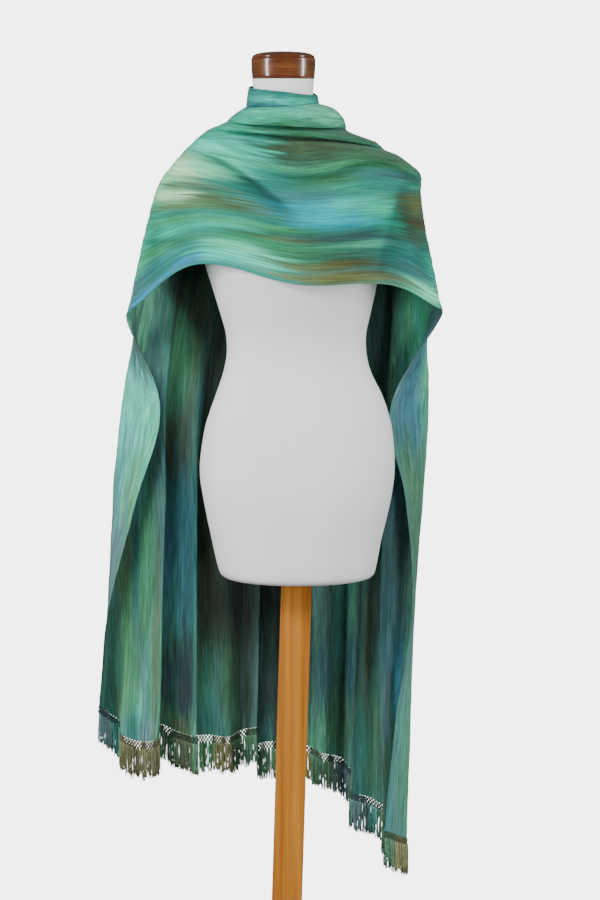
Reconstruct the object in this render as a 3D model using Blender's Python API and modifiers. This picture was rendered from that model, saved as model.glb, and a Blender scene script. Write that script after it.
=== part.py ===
"""A long hand-woven shawl with fringed ends, worn back to front on a limbless dress form.

Metres, +Z up, front towards -Y. The origin is the centre of the stand's underside, on the floor.
The shawl is one sheet. Its threads run from the left end, up the left tail, over the shoulder,
across the chest and down the right tail. "Across" is 0 at the edge that lies round the neck and
1 at the edge that makes the hem on the chest.
"""

import math

import bmesh
import bpy
import numpy as np
from mathutils import Vector

MM = 0.001

# The tables count heights from this far above the floor.
TABLE_LEVEL = 0.0500

CLOTH_THICKNESS = 0.0020
SHAWL_WIDTH = 0.56
SEAM_HALF_GAP = 0.0002
TOUCH_GAP = 0.0003
HEM_BAND = 8.0
FRINGE_GAP = 0.0012

# Share of the half front, next to each shoulder, that its end row and the row before it leave.
SHOULDER_EDGE = 0.0045
SHOULDER_ROW = 0.06

FRINGE_STRIP = 0.010
FRINGE_LENGTH = 0.066
STRAND_PITCH = 0.0088
STRAND_SWAY = 0.0022

NECK_TOP = 1.5710
CAP_HEIGHT = 0.0477
CAP_RADIUS = 0.0560
FORM_BOTTOM = 0.6930
FORM_SEGMENTS = 28

POST_WIDTH = 0.0550
POST_DEPTH = 0.0400
POST_TOP_X = 0.0210
POST_FOOT_X = 0.0010
BASE_RADIUS = 0.1750
BASE_HEIGHT = 0.0250

# Where the front sheet's fold lines are measured, as the sine of the turn away from the centre.
FRONT_SINES = (-1.0, -0.6, 0.0, 0.6, 1.0)
SIDE_DEPTH = 12.0

# Fold lines of the front in millimetres, from the neck edge down to the hem:
# across, depth in the middle, then x and z at the left shoulder, left breast, middle,
# right breast and right shoulder.
FRONT_FOLDS = (
    (0.000, -49, -62, 1508, -51, 1504, 1, 1498, 43, 1493, 57, 1494),
    (0.035, -54, -65, 1489, -54, 1487, 2, 1486, 46, 1485, 59, 1485),
    (0.070, -52, -67, 1473, -52, 1466, 2, 1467, 45, 1470, 62, 1476),
    (0.085, -59, -72, 1469, -55, 1471, 2, 1473, 51, 1477, 74, 1475),
    (0.100, -70, -80, 1465, -58, 1463, 2, 1466, 58, 1471, 88, 1469),
    (0.130, -81, -93, 1456, -62, 1453, 2, 1454, 65, 1457, 102, 1454),
    (0.160, -80, -99, 1449, -62, 1443, 0, 1440, 66, 1437, 107, 1440),
    (0.183, -61, -104, 1445, -59, 1447, 0, 1450, 61, 1446, 107, 1435),
    (0.193, -54, -111, 1443, -61, 1443, 0, 1445, 61, 1441, 113, 1430),
    (0.213, -68, -117, 1440, -66, 1438, 0, 1434, 74, 1430, 128, 1424),
    (0.232, -79, -124, 1438, -72, 1434, 0, 1429, 82, 1423, 158, 1413),
    (0.246, -75, -128, 1436, -72, 1430, 0, 1423, 82, 1417, 167, 1406),
    (0.266, -57, -133, 1434, -70, 1433, 0, 1431, 79, 1424, 172, 1401),
    (0.276, -50, -137, 1431, -70, 1428, 0, 1425, 79, 1419, 177, 1398),
    (0.335, -86, -151, 1420, -84, 1412, 5, 1399, 96, 1401, 202, 1387),
    (0.400, -104, -167, 1405, -96, 1388, 24, 1363, 130, 1376, 235, 1361),
    (0.430, -107, -176, 1396, -100, 1378, 24, 1355, 134, 1368, 239, 1352),
    (0.560, -122, -218, 1343, -119, 1334, 24, 1315, 156, 1322, 239, 1318),
    (0.720, -138, -240, 1274, -136, 1288, 24, 1268, 173, 1271, 248, 1256),
    (0.870, -142, -260, 1190, -147, 1246, 24, 1221, 178, 1220, 263, 1186),
    (1.000, -139, -275, 1116, -152, 1204, 27, 1172, 182, 1169, 275, 1121),
)

# Soft overlaps on the chest in millimetres: x and z of the start, middle and end of the line,
# the height of the raised side, its width and the width of the drop beyond it.
CHEST_STEPS = (
    (-168, 1402, -96, 1397, 27, 1291, 12, 26, 12),
    (-75, 1392, 14, 1339, 140, 1382, 8, 30, 11),
    (100, 1378, 188, 1401, 238, 1347, 8, 26, 11),
    (205, 1345, 178, 1236, -10, 1262, 15, 60, 16),
)

# Heights at which the tails' fold lines are measured, in millimetres.
TAIL_LEVELS = (945, 765, 570, 390)

# Share of each tail's length at its measured stations, from the shoulder to the hem.
TAIL_STATIONS = (0.0, 0.14, 0.36, 0.53, 0.70, 0.86, 1.0)

# Fold lines of the left tail in millimetres, from the inner edge outwards:
# across, x y z behind the shoulder, x y at the four levels, x y z at the hem.
LEFT_TAIL_FOLDS = (
    (0.00, -16, 94, 1472, -43, 158, -43, 175, -48, 183, -52, 187, -54, 190, 323),
    (0.07, -36, 106, 1452, -72, 176, -76, 194, -78, 205, -80, 210, -80, 212, 313),
    (0.14, -56, 106, 1432, -103, 156, -108, 170, -110, 177, -112, 181, -110, 182, 306),
    (0.21, -76, 117, 1406, -130, 168, -141, 190, -145, 199, -145, 204, -141, 206, 304),
    (0.28, -94, 118, 1382, -144, 158, -168, 174, -177, 181, -178, 186, -172, 192, 307),
    (0.36, -114, 120, 1350, -159, 136, -162, 136, -164, 136, -166, 134, -166, 130, 319),
    (0.45, -141, 122, 1322, -193, 152, -198, 156, -206, 162, -213, 170, -213, 176, 322),
    (0.53, -166, 120, 1292, -222, 142, -234, 149, -240, 156, -244, 162, -242, 168, 338),
    (0.62, -190, 108, 1262, -216, 92, -218, 95, -225, 98, -230, 98, -236, 98, 323),
    (0.72, -216, 102, 1226, -255, 114, -262, 119, -269, 124, -268, 120, -269, 118, 314),
    (0.80, -236, 90, 1195, -280, 112, -292, 122, -289, 127, -297, 112, -300, 106, 329),
    (0.90, -260, 62, 1148, -291, 78, -312, 92, -322, 106, -320, 158, -310, 165, 341),
    (1.00, -279, 28, 1096, -222, 35, -269, 48, -320, 58, -342, 106, -346, 138, 375),
)

# Fold lines of the right tail, in the same columns.
RIGHT_TAIL_FOLDS = (
    (0.00, 4, 112, 1470, -48, 184, -51, 207, -54, 216, -56, 220, -56, 222, 282),
    (0.05, 24, 118, 1450, -18, 192, -20, 217, -22, 229, -24, 234, -24, 236, 284),
    (0.10, 46, 114, 1428, 18, 168, 14, 187, 11, 194, 8, 197, 6, 199, 283),
    (0.15, 66, 121, 1408, 52, 182, 50, 208, 47, 219, 44, 224, 42, 226, 278),
    (0.20, 86, 119, 1388, 86, 168, 82, 182, 79, 189, 75, 192, 73, 193, 271),
    (0.27, 103, 127, 1368, 122, 179, 119, 201, 115, 210, 109, 214, 106, 216, 256),
    (0.33, 118, 124, 1350, 151, 168, 148, 181, 145, 187, 137, 191, 134, 192, 224),
    (0.41, 138, 120, 1325, 141, 133, 138, 137, 135, 138, 126, 138, 122, 139, 213),
    (0.50, 161, 122, 1300, 168, 147, 166, 157, 163, 161, 158, 162, 157, 160, 196),
    (0.62, 192, 114, 1262, 199, 140, 193, 145, 188, 149, 186, 151, 188, 152, 178),
    (0.70, 209, 96, 1240, 185, 95, 179, 95, 174, 95, 174, 95, 182, 97, 172),
    (0.80, 230, 90, 1203, 238, 112, 229, 117, 220, 121, 211, 119, 213, 117, 142),
    (0.90, 254, 62, 1158, 257, 78, 249, 88, 236, 94, 231, 100, 224, 106, 134),
    (1.00, 276, 28, 1104, 189, 42, 218, 46, 230, 46, 203, 56, 182, 66, 160),
)

# Sections of the dress form in millimetres: height, half width, front, back, middle x.
FORM_SECTIONS = (
    (643, 122, -86, 88, 23),
    (646, 131, -93, 95, 23),
    (656, 139, -99, 101, 22),
    (712, 151, -106, 108, 21),
    (782, 166, -112, 118, 22),
    (838, 173, -111, 122, 22),
    (904, 167, -102, 114, 24),
    (940, 158, -96, 103, 25),
    (973, 146, -90, 91, 25),
    (1012, 130, -86, 79, 22),
    (1046, 123, -86, 73, 21),
    (1080, 124, -92, 73, 20),
    (1113, 132, -104, 76, 19),
    (1159, 144, -124, 84, 17),
    (1194, 152, -137, 90, 14),
    (1240, 158, -133, 96, 10),
    (1290, 163, -116, 98, 7),
    (1330, 165, -92, 97, 4),
    (1365, 153, -75, 90, 1),
    (1390, 126, -58, 81, -1),
    (1410, 96, -47, 73, -2),
    (1430, 68, -36, 68, -2),
    (1455, 54, -35, 66, -2),
    (1480, 51, -35, 63, -2),
    (1500, 52, -36, 64, -2),
    (1521, 54, -38, 68, -2),
)

# Samples across the sheet: close together over the neck's folds, even below them.
ACROSS_COLLAR = (0.0, 0.035, 0.07, 0.085, 0.1, 0.13, 0.15, 0.163, 0.183, 0.188, 0.193, 0.199)
ACROSS_FRONT = (0.207, 0.222, 0.232, 0.239, 0.246, 0.266, 0.271, 0.276, 0.305, 0.335, 0.365, 0.4,
                0.415, 0.43, 0.475, 0.52, 0.57, 0.62, 0.66, 0.7, 0.75, 0.8, 0.85, 0.9, 0.95, 1.0)
COLLAR_SEAM = 0.203
FRONT_SPANS = 22
TAIL_SPANS = 15


def smooth_read(points, knots, where):
    """Read a smooth curve through points[i] at knots[i] at each value in where."""
    points = np.asarray(points, float)
    knots = np.asarray(knots, float)
    gaps = np.linalg.norm(np.diff(points, axis=0), axis=-1, keepdims=True) ** 0.5
    gaps = np.maximum(gaps, 1e-6)
    slopes = np.diff(points, axis=0) / gaps
    middle = (points[2:] - points[:-2]) / (gaps[:-1] + gaps[1:])
    tangents = np.concatenate((slopes[:1], middle, slopes[-1:]))
    where = np.asarray(where, float)
    span = np.clip(np.searchsorted(knots, where, side="right") - 1, 0, len(knots) - 2)
    part = (where - knots[span]) / (knots[span + 1] - knots[span])
    part = part.reshape(part.shape + (1,) * (points.ndim - 1))
    width = gaps[span]
    return (
        (2 * part**3 - 3 * part**2 + 1) * points[span]
        + (part**3 - 2 * part**2 + part) * width * tangents[span]
        + (3 * part**2 - 2 * part**3) * points[span + 1]
        + (part**3 - part**2) * width * tangents[span + 1]
    )


def metres(points):
    """Table points in millimetres as metres above the floor."""
    return np.asarray(points, float) * MM + np.array((0.0, 0.0, TABLE_LEVEL))


def bump(distance, rise, fall):
    """Height of a soft overlap: a slow rise on one side of its line and a quick drop past it."""
    width = np.where(distance > 0, rise, fall)
    return np.exp(-(distance / width) ** 2)


def step_height(x, z, step):
    """Height that one soft overlap adds at a place on the chest, in millimetres."""
    x0, z0, x1, z1, x2, z2, height, rise, fall = step
    best = np.full(np.shape(x), 1e9)
    signed = np.zeros(np.shape(x))
    along = np.zeros(np.shape(x))
    for share in np.linspace(0.0, 1.0, 161):
        rest = 1.0 - share
        line_x = rest * rest * x0 + 2 * rest * share * x1 + share * share * x2
        line_z = rest * rest * z0 + 2 * rest * share * z1 + share * share * z2
        run_x = 2 * rest * (x1 - x0) + 2 * share * (x2 - x1)
        run_z = 2 * rest * (z1 - z0) + 2 * share * (z2 - z1)
        distance = np.hypot(x - line_x, z - line_z)
        side = np.sign(run_x * (z - line_z) - run_z * (x - line_x))
        nearer = distance < best
        best = np.where(nearer, distance, best)
        signed = np.where(nearer, side * distance, signed)
        along = np.where(nearer, share, along)
    signed = signed * np.sign(x2 - x0)
    fade = np.clip(np.sin(math.pi * np.clip(0.06 + 0.94 * along, 0, 1)), 0, 1) ** 0.6
    return height * fade * bump(signed, rise, fall)


def front_points(along, across):
    """The front's surface, in millimetres: along runs from -1 at the left shoulder to 1."""
    table = np.array(FRONT_FOLDS, float)
    sines = np.sin(0.5 * math.pi * np.asarray(along, float))
    lines = np.stack([table[:, 2 + 2 * i:4 + 2 * i] for i in range(5)])
    lines = np.concatenate((lines, np.repeat(table[None, :, 1:2], 5, axis=0)), axis=2)
    rows = smooth_read(np.swapaxes(lines, 0, 1), table[:, 0], across)
    sheet = smooth_read(np.swapaxes(rows, 0, 1), FRONT_SINES, sines)
    x, z, depth = sheet[..., 0], sheet[..., 1], sheet[..., 2]
    left, middle, right = rows[:, 0, 0], rows[:, 2, 0], rows[:, 4, 0]
    reach = np.where(x < middle, middle - left, right - middle)
    share = np.clip(np.abs(x - middle) / reach, 0.0, 1.0)
    power = 2.05 - 0.5 * np.asarray(across)
    y = SIDE_DEPTH + (depth - SIDE_DEPTH) * (1.0 - share**power) ** (1.0 / power)
    for step in CHEST_STEPS:
        y = y - step_height(x, z, step) * np.clip(-y / 60.0, 0.0, 1.0)
    return np.stack((x, y, z), axis=-1)


def tail_points(folds, shoulder_along, along, across):
    """A tail's surface, in millimetres: along runs from 0 at the shoulder to 1 at the hem."""
    across = np.asarray(across, float)
    table = np.array(folds, float)
    stations = [front_points([shoulder_along], across)[0]]
    stations.append(smooth_read(table[:, 1:4], table[:, 0], across))
    for index, level in enumerate(TAIL_LEVELS):
        first = 4 + 2 * index
        flat = np.column_stack((table[:, first:first + 2], np.full(len(table), float(level))))
        stations.append(smooth_read(flat, table[:, 0], across))
    stations.append(smooth_read(table[:, 12:15], table[:, 0], across))
    arriving = stations[0] - front_points([shoulder_along * 0.96], across)[0]
    arriving /= np.linalg.norm(arriving, axis=1, keepdims=True)
    reach = np.linalg.norm(stations[1] - stations[0], axis=1, keepdims=True)
    before = stations[1] - 2.0 * reach * arriving
    points = np.stack([before] + stations)
    return smooth_read(points, (-0.05,) + TAIL_STATIONS, along)


def make_collection(name):
    """Add a collection to the scene."""
    collection = bpy.data.collections.new(name)
    bpy.context.scene.collection.children.link(collection)
    return collection


def make_material(name, color, roughness):
    """A plain Principled material."""
    material = bpy.data.materials.new(name)
    material.use_nodes = True
    shader = material.node_tree.nodes["Principled BSDF"]
    shader.inputs["Base Color"].default_value = (*color, 1.0)
    shader.inputs["Roughness"].default_value = roughness
    shader.inputs["Metallic"].default_value = 0.0
    material.diffuse_color = (*color, 1.0)
    return material


def add_object(name, mesh, material, collection):
    """Put a mesh in the collection as a smooth-shaded object."""
    mesh.materials.append(material)
    mesh.shade_smooth()
    node = bpy.data.objects.new(name, mesh)
    collection.objects.link(node)
    return node


def grid_mesh(name, points):
    """An open sheet through a grid of points in metres."""
    rows, columns = points.shape[:2]
    vertices = points.reshape(-1, 3).tolist()
    faces = []
    for i in range(rows - 1):
        for j in range(columns - 1):
            corner = i * columns + j
            faces.append((corner, corner + 1, corner + columns + 1, corner + columns))
    mesh = bpy.data.meshes.new(name)
    mesh.from_pydata(vertices, [], faces)
    return mesh


def add_cloth(name, points, material, collection):
    """A stretch of cloth: an open sheet given its thickness by Solidify."""
    node = add_object(name, grid_mesh(name, metres(points)), material, collection)
    wall = node.modifiers.new("Cloth thickness", "SOLIDIFY")
    wall.thickness = CLOTH_THICKNESS
    wall.offset = 0.0
    wall.use_even_offset = False
    return node


def across_samples(low, high):
    """The samples across the sheet that lie between two values, with both ends."""
    inner = [value for value in ACROSS_COLLAR + ACROSS_FRONT if low < value < high]
    return np.array([low] + inner + [high])


def add_shawl(material, collection):
    """The four stretches of the shawl, parted by narrow seams. Returns the tails' points."""
    turns = np.linspace(-1.0, 1.0, FRONT_SPANS + 1)[2:-2]
    ends = np.array((1.0 - SHOULDER_ROW, 1.0 - SHOULDER_EDGE))
    along = np.concatenate((-ends[::-1], turns, ends))
    gap = SEAM_HALF_GAP / SHAWL_WIDTH
    collar = across_samples(0.0, COLLAR_SEAM - gap)
    front = across_samples(COLLAR_SEAM + gap, 1.0)
    add_cloth("shawl_collar", front_points(along, collar), material, collection)
    add_cloth("shawl_front", front_points(along, front), material, collection)
    drop = np.concatenate(([0.0006, 0.02], np.linspace(0.0, 1.0, TAIL_SPANS + 1)[1:]))
    across = across_samples(0.0, 1.0)
    left = tail_points(LEFT_TAIL_FOLDS, -1.0, drop, across)
    right = tail_points(RIGHT_TAIL_FOLDS, 1.0, drop, across)
    left = plumb_hem(left)
    right = plumb_hem(right)
    add_cloth("shawl_left_tail", left[:, ::-1], material, collection)
    add_cloth("shawl_right_tail", right, material, collection)
    return left, right


def plumb_hem(tail):
    """Move the last row before the hem close above it, so the cloth hangs plumb at the fringe."""
    band = tail[-1] + np.array((0.0, 0.0, HEM_BAND))
    return np.concatenate((tail[:-2], band[None], tail[-1:]))


def fringe_columns(hem):
    """Even columns along a hem, two for each strand: the place and the level way out."""
    runs = np.diff(hem, axis=0)
    ways = np.column_stack((-runs[:, 1], runs[:, 0], np.zeros(len(runs))))
    ways /= np.linalg.norm(ways, axis=1, keepdims=True)
    corners = np.concatenate((ways[:1], ways[1:] + ways[:-1], ways[-1:]))
    corners /= np.linalg.norm(corners, axis=1, keepdims=True)
    columns = []
    for i in range(len(hem) - 1):
        count = 2 * max(1, round(np.linalg.norm(runs[i]) / STRAND_PITCH))
        columns.append((hem[i], corners[i]))
        for k in range(1, count):
            columns.append((hem[i] + k / count * runs[i], ways[i]))
    columns.append((hem[-1], corners[-1]))
    return columns


def add_fringe(name, tail, material, collection):
    """A narrow knotted strip under a hem, with a tapering strand below every second face."""
    half = 0.5 * CLOTH_THICKNESS
    top = np.array((0.0, 0.0, -FRINGE_GAP))
    bottom = np.array((0.0, 0.0, -FRINGE_STRIP))
    work = bmesh.new()
    rings = []
    for place, out in fringe_columns(metres(tail[-1])):
        shift = out * half
        corners = (top - shift, top + shift, bottom + shift, bottom - shift)
        rings.append([work.verts.new(place + corner) for corner in corners])
    roots = []
    for i in range(len(rings) - 1):
        for k in range(4):
            n = (k + 1) % 4
            face = work.faces.new((rings[i][k], rings[i][n], rings[i + 1][n], rings[i + 1][k]))
            if k == 2 and i % 2 == 0:
                roots.append(face)
    work.faces.new(rings[0][::-1])
    work.faces.new(rings[-1])
    for index, face in enumerate(roots):
        grow_strand(work, face, index)
    bmesh.ops.recalc_face_normals(work, faces=work.faces)
    mesh = bpy.data.meshes.new(name)
    work.to_mesh(mesh)
    work.free()
    return add_object(name, mesh, material, collection)


def grow_strand(work, face, index):
    """Draw one strand down from a face of the strip in two steps, narrowing and swaying."""
    length = FRINGE_LENGTH * (1.0 + 0.05 * math.sin(index * 2.7))
    sway_x = STRAND_SWAY * math.sin(index * 0.61)
    sway_y = STRAND_SWAY * math.sin(index * 0.43 + 1.0)
    move = Vector((sway_x, sway_y, -length))
    for share, scale in ((0.45, 0.80), (0.55, 0.62)):
        grown = bmesh.ops.extrude_discrete_faces(work, faces=[face])
        face = grown["faces"][0]
        center = face.calc_center_median()
        for vertex in face.verts:
            vertex.co = center + (vertex.co - center) * scale + move * share


def add_form(material, collection):
    """The dress form: rings of an oval that is deeper in front than behind, closed at both ends."""
    work = bmesh.new()
    rings = []
    for height, half, front, back, middle in FORM_SECTIONS:
        ring = []
        for k in range(FORM_SEGMENTS):
            turn = 2 * math.pi * k / FORM_SEGMENTS
            reach = back if math.sin(turn) > 0 else -front
            place = (middle + half * math.cos(turn), reach * math.sin(turn), height)
            ring.append(work.verts.new(metres(place)))
        rings.append(ring)
    for lower, upper in zip(rings, rings[1:]):
        for k in range(FORM_SEGMENTS):
            n = (k + 1) % FORM_SEGMENTS
            work.faces.new((lower[k], lower[n], upper[n], upper[k]))
    work.faces.new(rings[0][::-1])
    work.faces.new(rings[-1])
    mesh = bpy.data.meshes.new("form_torso")
    work.to_mesh(mesh)
    work.free()
    node = add_object("form_torso", mesh, material, collection)
    mesh.set_sharp_from_angle(angle=math.radians(50))
    return node


def turned(name, profile, steps, material, collection):
    """A turned piece from a profile of radius and height, listed from the top down."""
    mesh = bpy.data.meshes.new(name)
    vertices = [(radius, 0.0, height) for radius, height in profile]
    edges = [(i, i + 1) for i in range(len(vertices) - 1)]
    mesh.from_pydata(vertices, edges, [])
    node = add_object(name, mesh, material, collection)
    screw = node.modifiers.new("Turned", "SCREW")
    screw.steps = steps
    screw.render_steps = steps
    screw.use_merge_vertices = True
    screw.merge_threshold = 0.0001
    screw.use_smooth_shade = True
    return node


def add_cap(material, collection):
    """The turned wooden cap on the neck, with a groove under its domed top."""
    profile = (
        (0.0, CAP_HEIGHT),
        (0.030, CAP_HEIGHT - 0.0010),
        (0.048, CAP_HEIGHT - 0.0040),
        (0.0545, CAP_HEIGHT - 0.0085),
        (0.0535, CAP_HEIGHT - 0.0100),
        (CAP_RADIUS, CAP_HEIGHT - 0.0125),
        (CAP_RADIUS, CAP_HEIGHT - 0.0200),
        (0.0545, 0.0015),
        (0.0530, 0.0),
        (0.0, 0.0),
    )
    node = turned("neck_cap", profile, 26, material, collection)
    node.location = (-0.002, 0.015, NECK_TOP + TOUCH_GAP)
    return node


def add_base(material, collection):
    """The round wooden foot that the post stands on."""
    profile = (
        (0.0, BASE_HEIGHT),
        (BASE_RADIUS - 0.006, BASE_HEIGHT),
        (BASE_RADIUS - 0.0015, BASE_HEIGHT - 0.002),
        (BASE_RADIUS, BASE_HEIGHT - 0.006),
        (BASE_RADIUS, 0.003),
        (BASE_RADIUS - 0.003, 0.0),
        (0.0, 0.0),
    )
    return turned("stand_base", profile, 36, material, collection)


def add_post(material, collection):
    """The flat timber post, leaning a little, from the foot to the form's underside."""
    foot = BASE_HEIGHT + TOUCH_GAP
    top = FORM_BOTTOM - TOUCH_GAP
    work = bmesh.new()
    bmesh.ops.create_cube(work, size=1.0)
    for vertex in work.verts:
        share = vertex.co.z + 0.5
        vertex.co.x = vertex.co.x * POST_WIDTH + POST_FOOT_X + share * (POST_TOP_X - POST_FOOT_X)
        vertex.co.y *= POST_DEPTH
        vertex.co.z = foot + share * (top - foot)
    mesh = bpy.data.meshes.new("stand_post")
    work.to_mesh(mesh)
    work.free()
    node = add_object("stand_post", mesh, material, collection)
    bevel = node.modifiers.new("Eased corners", "BEVEL")
    bevel.width = 0.003
    bevel.segments = 2
    bevel.limit_method = "ANGLE"
    return node


def main():
    for old in list(bpy.data.objects):
        bpy.data.objects.remove(old, do_unlink=True)
    collection = make_collection("shawl_on_dress_form")
    cloth = make_material("Woven cloth", (0.16, 0.42, 0.36), 0.85)
    thread = make_material("Fringe thread", (0.10, 0.30, 0.26), 0.85)
    jersey = make_material("White jersey", (0.86, 0.86, 0.87), 0.75)
    varnish = make_material("Varnished wood", (0.22, 0.07, 0.02), 0.2)
    timber = make_material("Golden timber", (0.60, 0.33, 0.12), 0.5)
    add_form(jersey, collection)
    add_cap(varnish, collection)
    add_post(timber, collection)
    add_base(timber, collection)
    left, right = add_shawl(cloth, collection)
    add_fringe("fringe_left", left, thread, collection)
    add_fringe("fringe_right", right, thread, collection)


main()
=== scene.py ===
"""A hand-woven, space-dyed shawl with knotted fringe, worn back to front on a limbless dress form.

Metres, +Z up, front towards -Y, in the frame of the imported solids. The shawl is one sheet. "Across"
is 0 at the edge round the neck and 1 at the edge that makes the hem on the chest. On the front,
"along" runs from -1 at the left shoulder to 1 at the right. On the tails it runs from 0 at the
shoulder to 1 at the hem.
"""

import math

import bpy
import numpy as np
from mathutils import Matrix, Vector


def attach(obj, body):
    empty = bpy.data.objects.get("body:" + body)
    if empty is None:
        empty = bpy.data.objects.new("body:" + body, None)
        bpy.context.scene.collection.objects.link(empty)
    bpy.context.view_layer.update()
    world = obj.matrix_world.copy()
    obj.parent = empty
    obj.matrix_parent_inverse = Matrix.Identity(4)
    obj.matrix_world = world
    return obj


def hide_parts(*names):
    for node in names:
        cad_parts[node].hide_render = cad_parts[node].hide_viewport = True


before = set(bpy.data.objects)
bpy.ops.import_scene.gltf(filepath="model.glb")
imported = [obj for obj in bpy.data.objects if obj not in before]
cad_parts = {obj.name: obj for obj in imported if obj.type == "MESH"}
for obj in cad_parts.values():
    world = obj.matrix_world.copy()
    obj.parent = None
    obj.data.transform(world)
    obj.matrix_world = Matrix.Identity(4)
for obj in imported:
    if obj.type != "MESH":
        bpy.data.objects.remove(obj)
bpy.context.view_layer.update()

MM = 0.001

# In metres: the height above the floor at which the tables' heights start, the shawl's width
# and its thickness.
TABLE_LEVEL = 0.05
SHAWL_WIDTH = 0.56
CLOTH_THICKNESS = 0.0011

# Rows of the mesh along the front and along each tail, columns across, and the share of the
# columns that lies over the folds round the neck.
FRONT_ROWS = 190
TAIL_ROWS = 170
ACROSS_COLUMNS = 170
NECK_COLUMNS = 0.42

# Across where the raised collar and the folds round the neck end, and over what width the
# creases die out there.
COLLAR_END = 0.165
COLLAR_EDGE = 0.02
NECK_END = 0.29
NECK_EDGE = 0.05

# The front is half an oval round the form: how far back its sides lie in millimetres, the oval's
# power at the neck and how much less it is at the hem, and the sine of each column's turn.
SIDE_DEPTH = 12.0
OVAL_POWER = 2.05
OVAL_FLATTER = 0.5
FRONT_SINES = (-1.0, -0.6, 0.0, 0.6, 1.0)

# Depth in millimetres over which the folds on the chest and in the collar die out at the sides.
CHEST_FADE = 60.0
COLLAR_FADE = 30.0

# Samples along the line of one soft overlap.
STEP_SAMPLES = 61

# How far a hanging crease wanders to either side, as a share of the width.
CREASE_WANDER = 0.006

# The cloth's unevenness in metres: height, length along and across, seed. Then its least share
# on the tails, at the edge that comes from the neck.
UNEVENNESS = ((0.0004, 0.16, 0.034, 3), (0.0003, 0.07, 0.014, 5))
TAIL_UNEVENNESS = 0.8

# Fold lines of the front in millimetres, from the neck edge down to the hem:
# across, depth in the middle, then x and z at the left shoulder, left breast, middle,
# right breast and right shoulder.
FRONT_FOLDS = (
    (0.000, -49, -62, 1508, -51, 1504, 1, 1498, 43, 1493, 57, 1494),
    (0.035, -54, -65, 1489, -54, 1487, 2, 1486, 46, 1485, 59, 1485),
    (0.070, -52, -67, 1473, -52, 1466, 2, 1467, 45, 1470, 62, 1476),
    (0.085, -59, -72, 1469, -55, 1471, 2, 1473, 51, 1477, 74, 1475),
    (0.100, -70, -80, 1465, -58, 1463, 2, 1466, 58, 1471, 88, 1469),
    (0.130, -81, -93, 1456, -62, 1453, 2, 1454, 65, 1457, 102, 1454),
    (0.160, -80, -99, 1449, -62, 1443, 0, 1440, 66, 1437, 107, 1440),
    (0.183, -61, -104, 1445, -59, 1447, 0, 1450, 61, 1446, 107, 1435),
    (0.193, -54, -111, 1443, -61, 1443, 0, 1445, 61, 1441, 113, 1430),
    (0.213, -68, -117, 1440, -66, 1438, 0, 1434, 74, 1430, 128, 1424),
    (0.232, -79, -124, 1438, -72, 1434, 0, 1429, 82, 1423, 158, 1413),
    (0.246, -75, -128, 1436, -72, 1430, 0, 1423, 82, 1417, 167, 1406),
    (0.266, -57, -133, 1434, -70, 1433, 0, 1431, 79, 1424, 172, 1401),
    (0.276, -50, -137, 1431, -70, 1428, 0, 1425, 79, 1419, 177, 1398),
    (0.335, -86, -151, 1420, -84, 1412, 5, 1399, 96, 1401, 202, 1387),
    (0.400, -104, -167, 1405, -96, 1388, 24, 1363, 130, 1376, 235, 1361),
    (0.430, -107, -176, 1396, -100, 1378, 24, 1355, 134, 1368, 239, 1352),
    (0.560, -122, -218, 1343, -119, 1334, 24, 1315, 156, 1322, 239, 1318),
    (0.720, -138, -240, 1274, -136, 1288, 24, 1268, 173, 1271, 248, 1256),
    (0.870, -142, -260, 1190, -147, 1246, 24, 1221, 178, 1220, 263, 1186),
    (1.000, -139, -275, 1116, -152, 1204, 27, 1172, 182, 1169, 275, 1121),
)

# Soft overlaps on the chest in millimetres: x and z of the start, middle and end of the line,
# the height of the raised side, its width and the width of the drop beyond it.
CHEST_STEPS = (
    (-168, 1402, -96, 1397, 27, 1291, 12, 26, 12),
    (-75, 1392, 14, 1339, 140, 1382, 8, 30, 11),
    (100, 1378, 188, 1401, 238, 1347, 8, 26, 11),
    (205, 1345, 178, 1236, -10, 1262, 15, 60, 16),
)

# Smaller creases on the chest, in the same columns. A trough has a height below zero.
CHEST_CREASES = (
    (-232, 1290, -222, 1230, -234, 1160, -4.0, 16, 14),
    (-205, 1330, -214, 1260, -222, 1180, 3.0, 14, 20),
    (150, 1300, 158, 1240, 150, 1180, -3.5, 16, 14),
    (-60, 1352, -10, 1325, 60, 1262, 3.0, 14, 9),
    (-160, 1360, -100, 1352, -40, 1330, 2.2, 12, 8),
    (-235, 1318, -190, 1322, -130, 1308, 2.2, 12, 8),
    (-240, 1262, -180, 1272, -120, 1262, -2.0, 10, 8),
    (20, 1402, 70, 1396, 130, 1394, 2.0, 8, 6),
    (60, 1340, 120, 1352, 190, 1352, 2.4, 14, 8),
    (-40, 1290, 30, 1262, 110, 1256, 2.2, 14, 8),
    (-150, 1250, -80, 1236, 0, 1232, 1.8, 12, 8),
    (-30, 1228, 60, 1214, 150, 1222, 1.6, 10, 8),
    (200, 1330, 216, 1290, 214, 1240, -3.0, 14, 12),
    (228, 1260, 222, 1210, 240, 1150, 3.0, 14, 12),
    (-170, 1397, -100, 1387, 24, 1284, -9.0, 7, 16),
    (-120, 1382, -60, 1352, 10, 1292, -4.0, 4, 7),
    (-64, 1378, 14, 1326, 138, 1371, -4.0, 4, 9),
    (104, 1370, 190, 1390, 238, 1338, -8.0, 3, 9),
    (205, 1338, 184, 1262, 160, 1182, -4.5, 6, 26),
    (-232, 1316, -190, 1310, -150, 1318, -2.2, 3, 5),
    (-240, 1290, -200, 1284, -160, 1290, -2.0, 3, 5),
    (-236, 1238, -196, 1246, -150, 1240, -2.0, 3, 5),
    (-100, 1262, -40, 1250, 20, 1256, -1.8, 3, 5),
    (60, 1300, 110, 1296, 170, 1302, -1.8, 3, 5),
)

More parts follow.
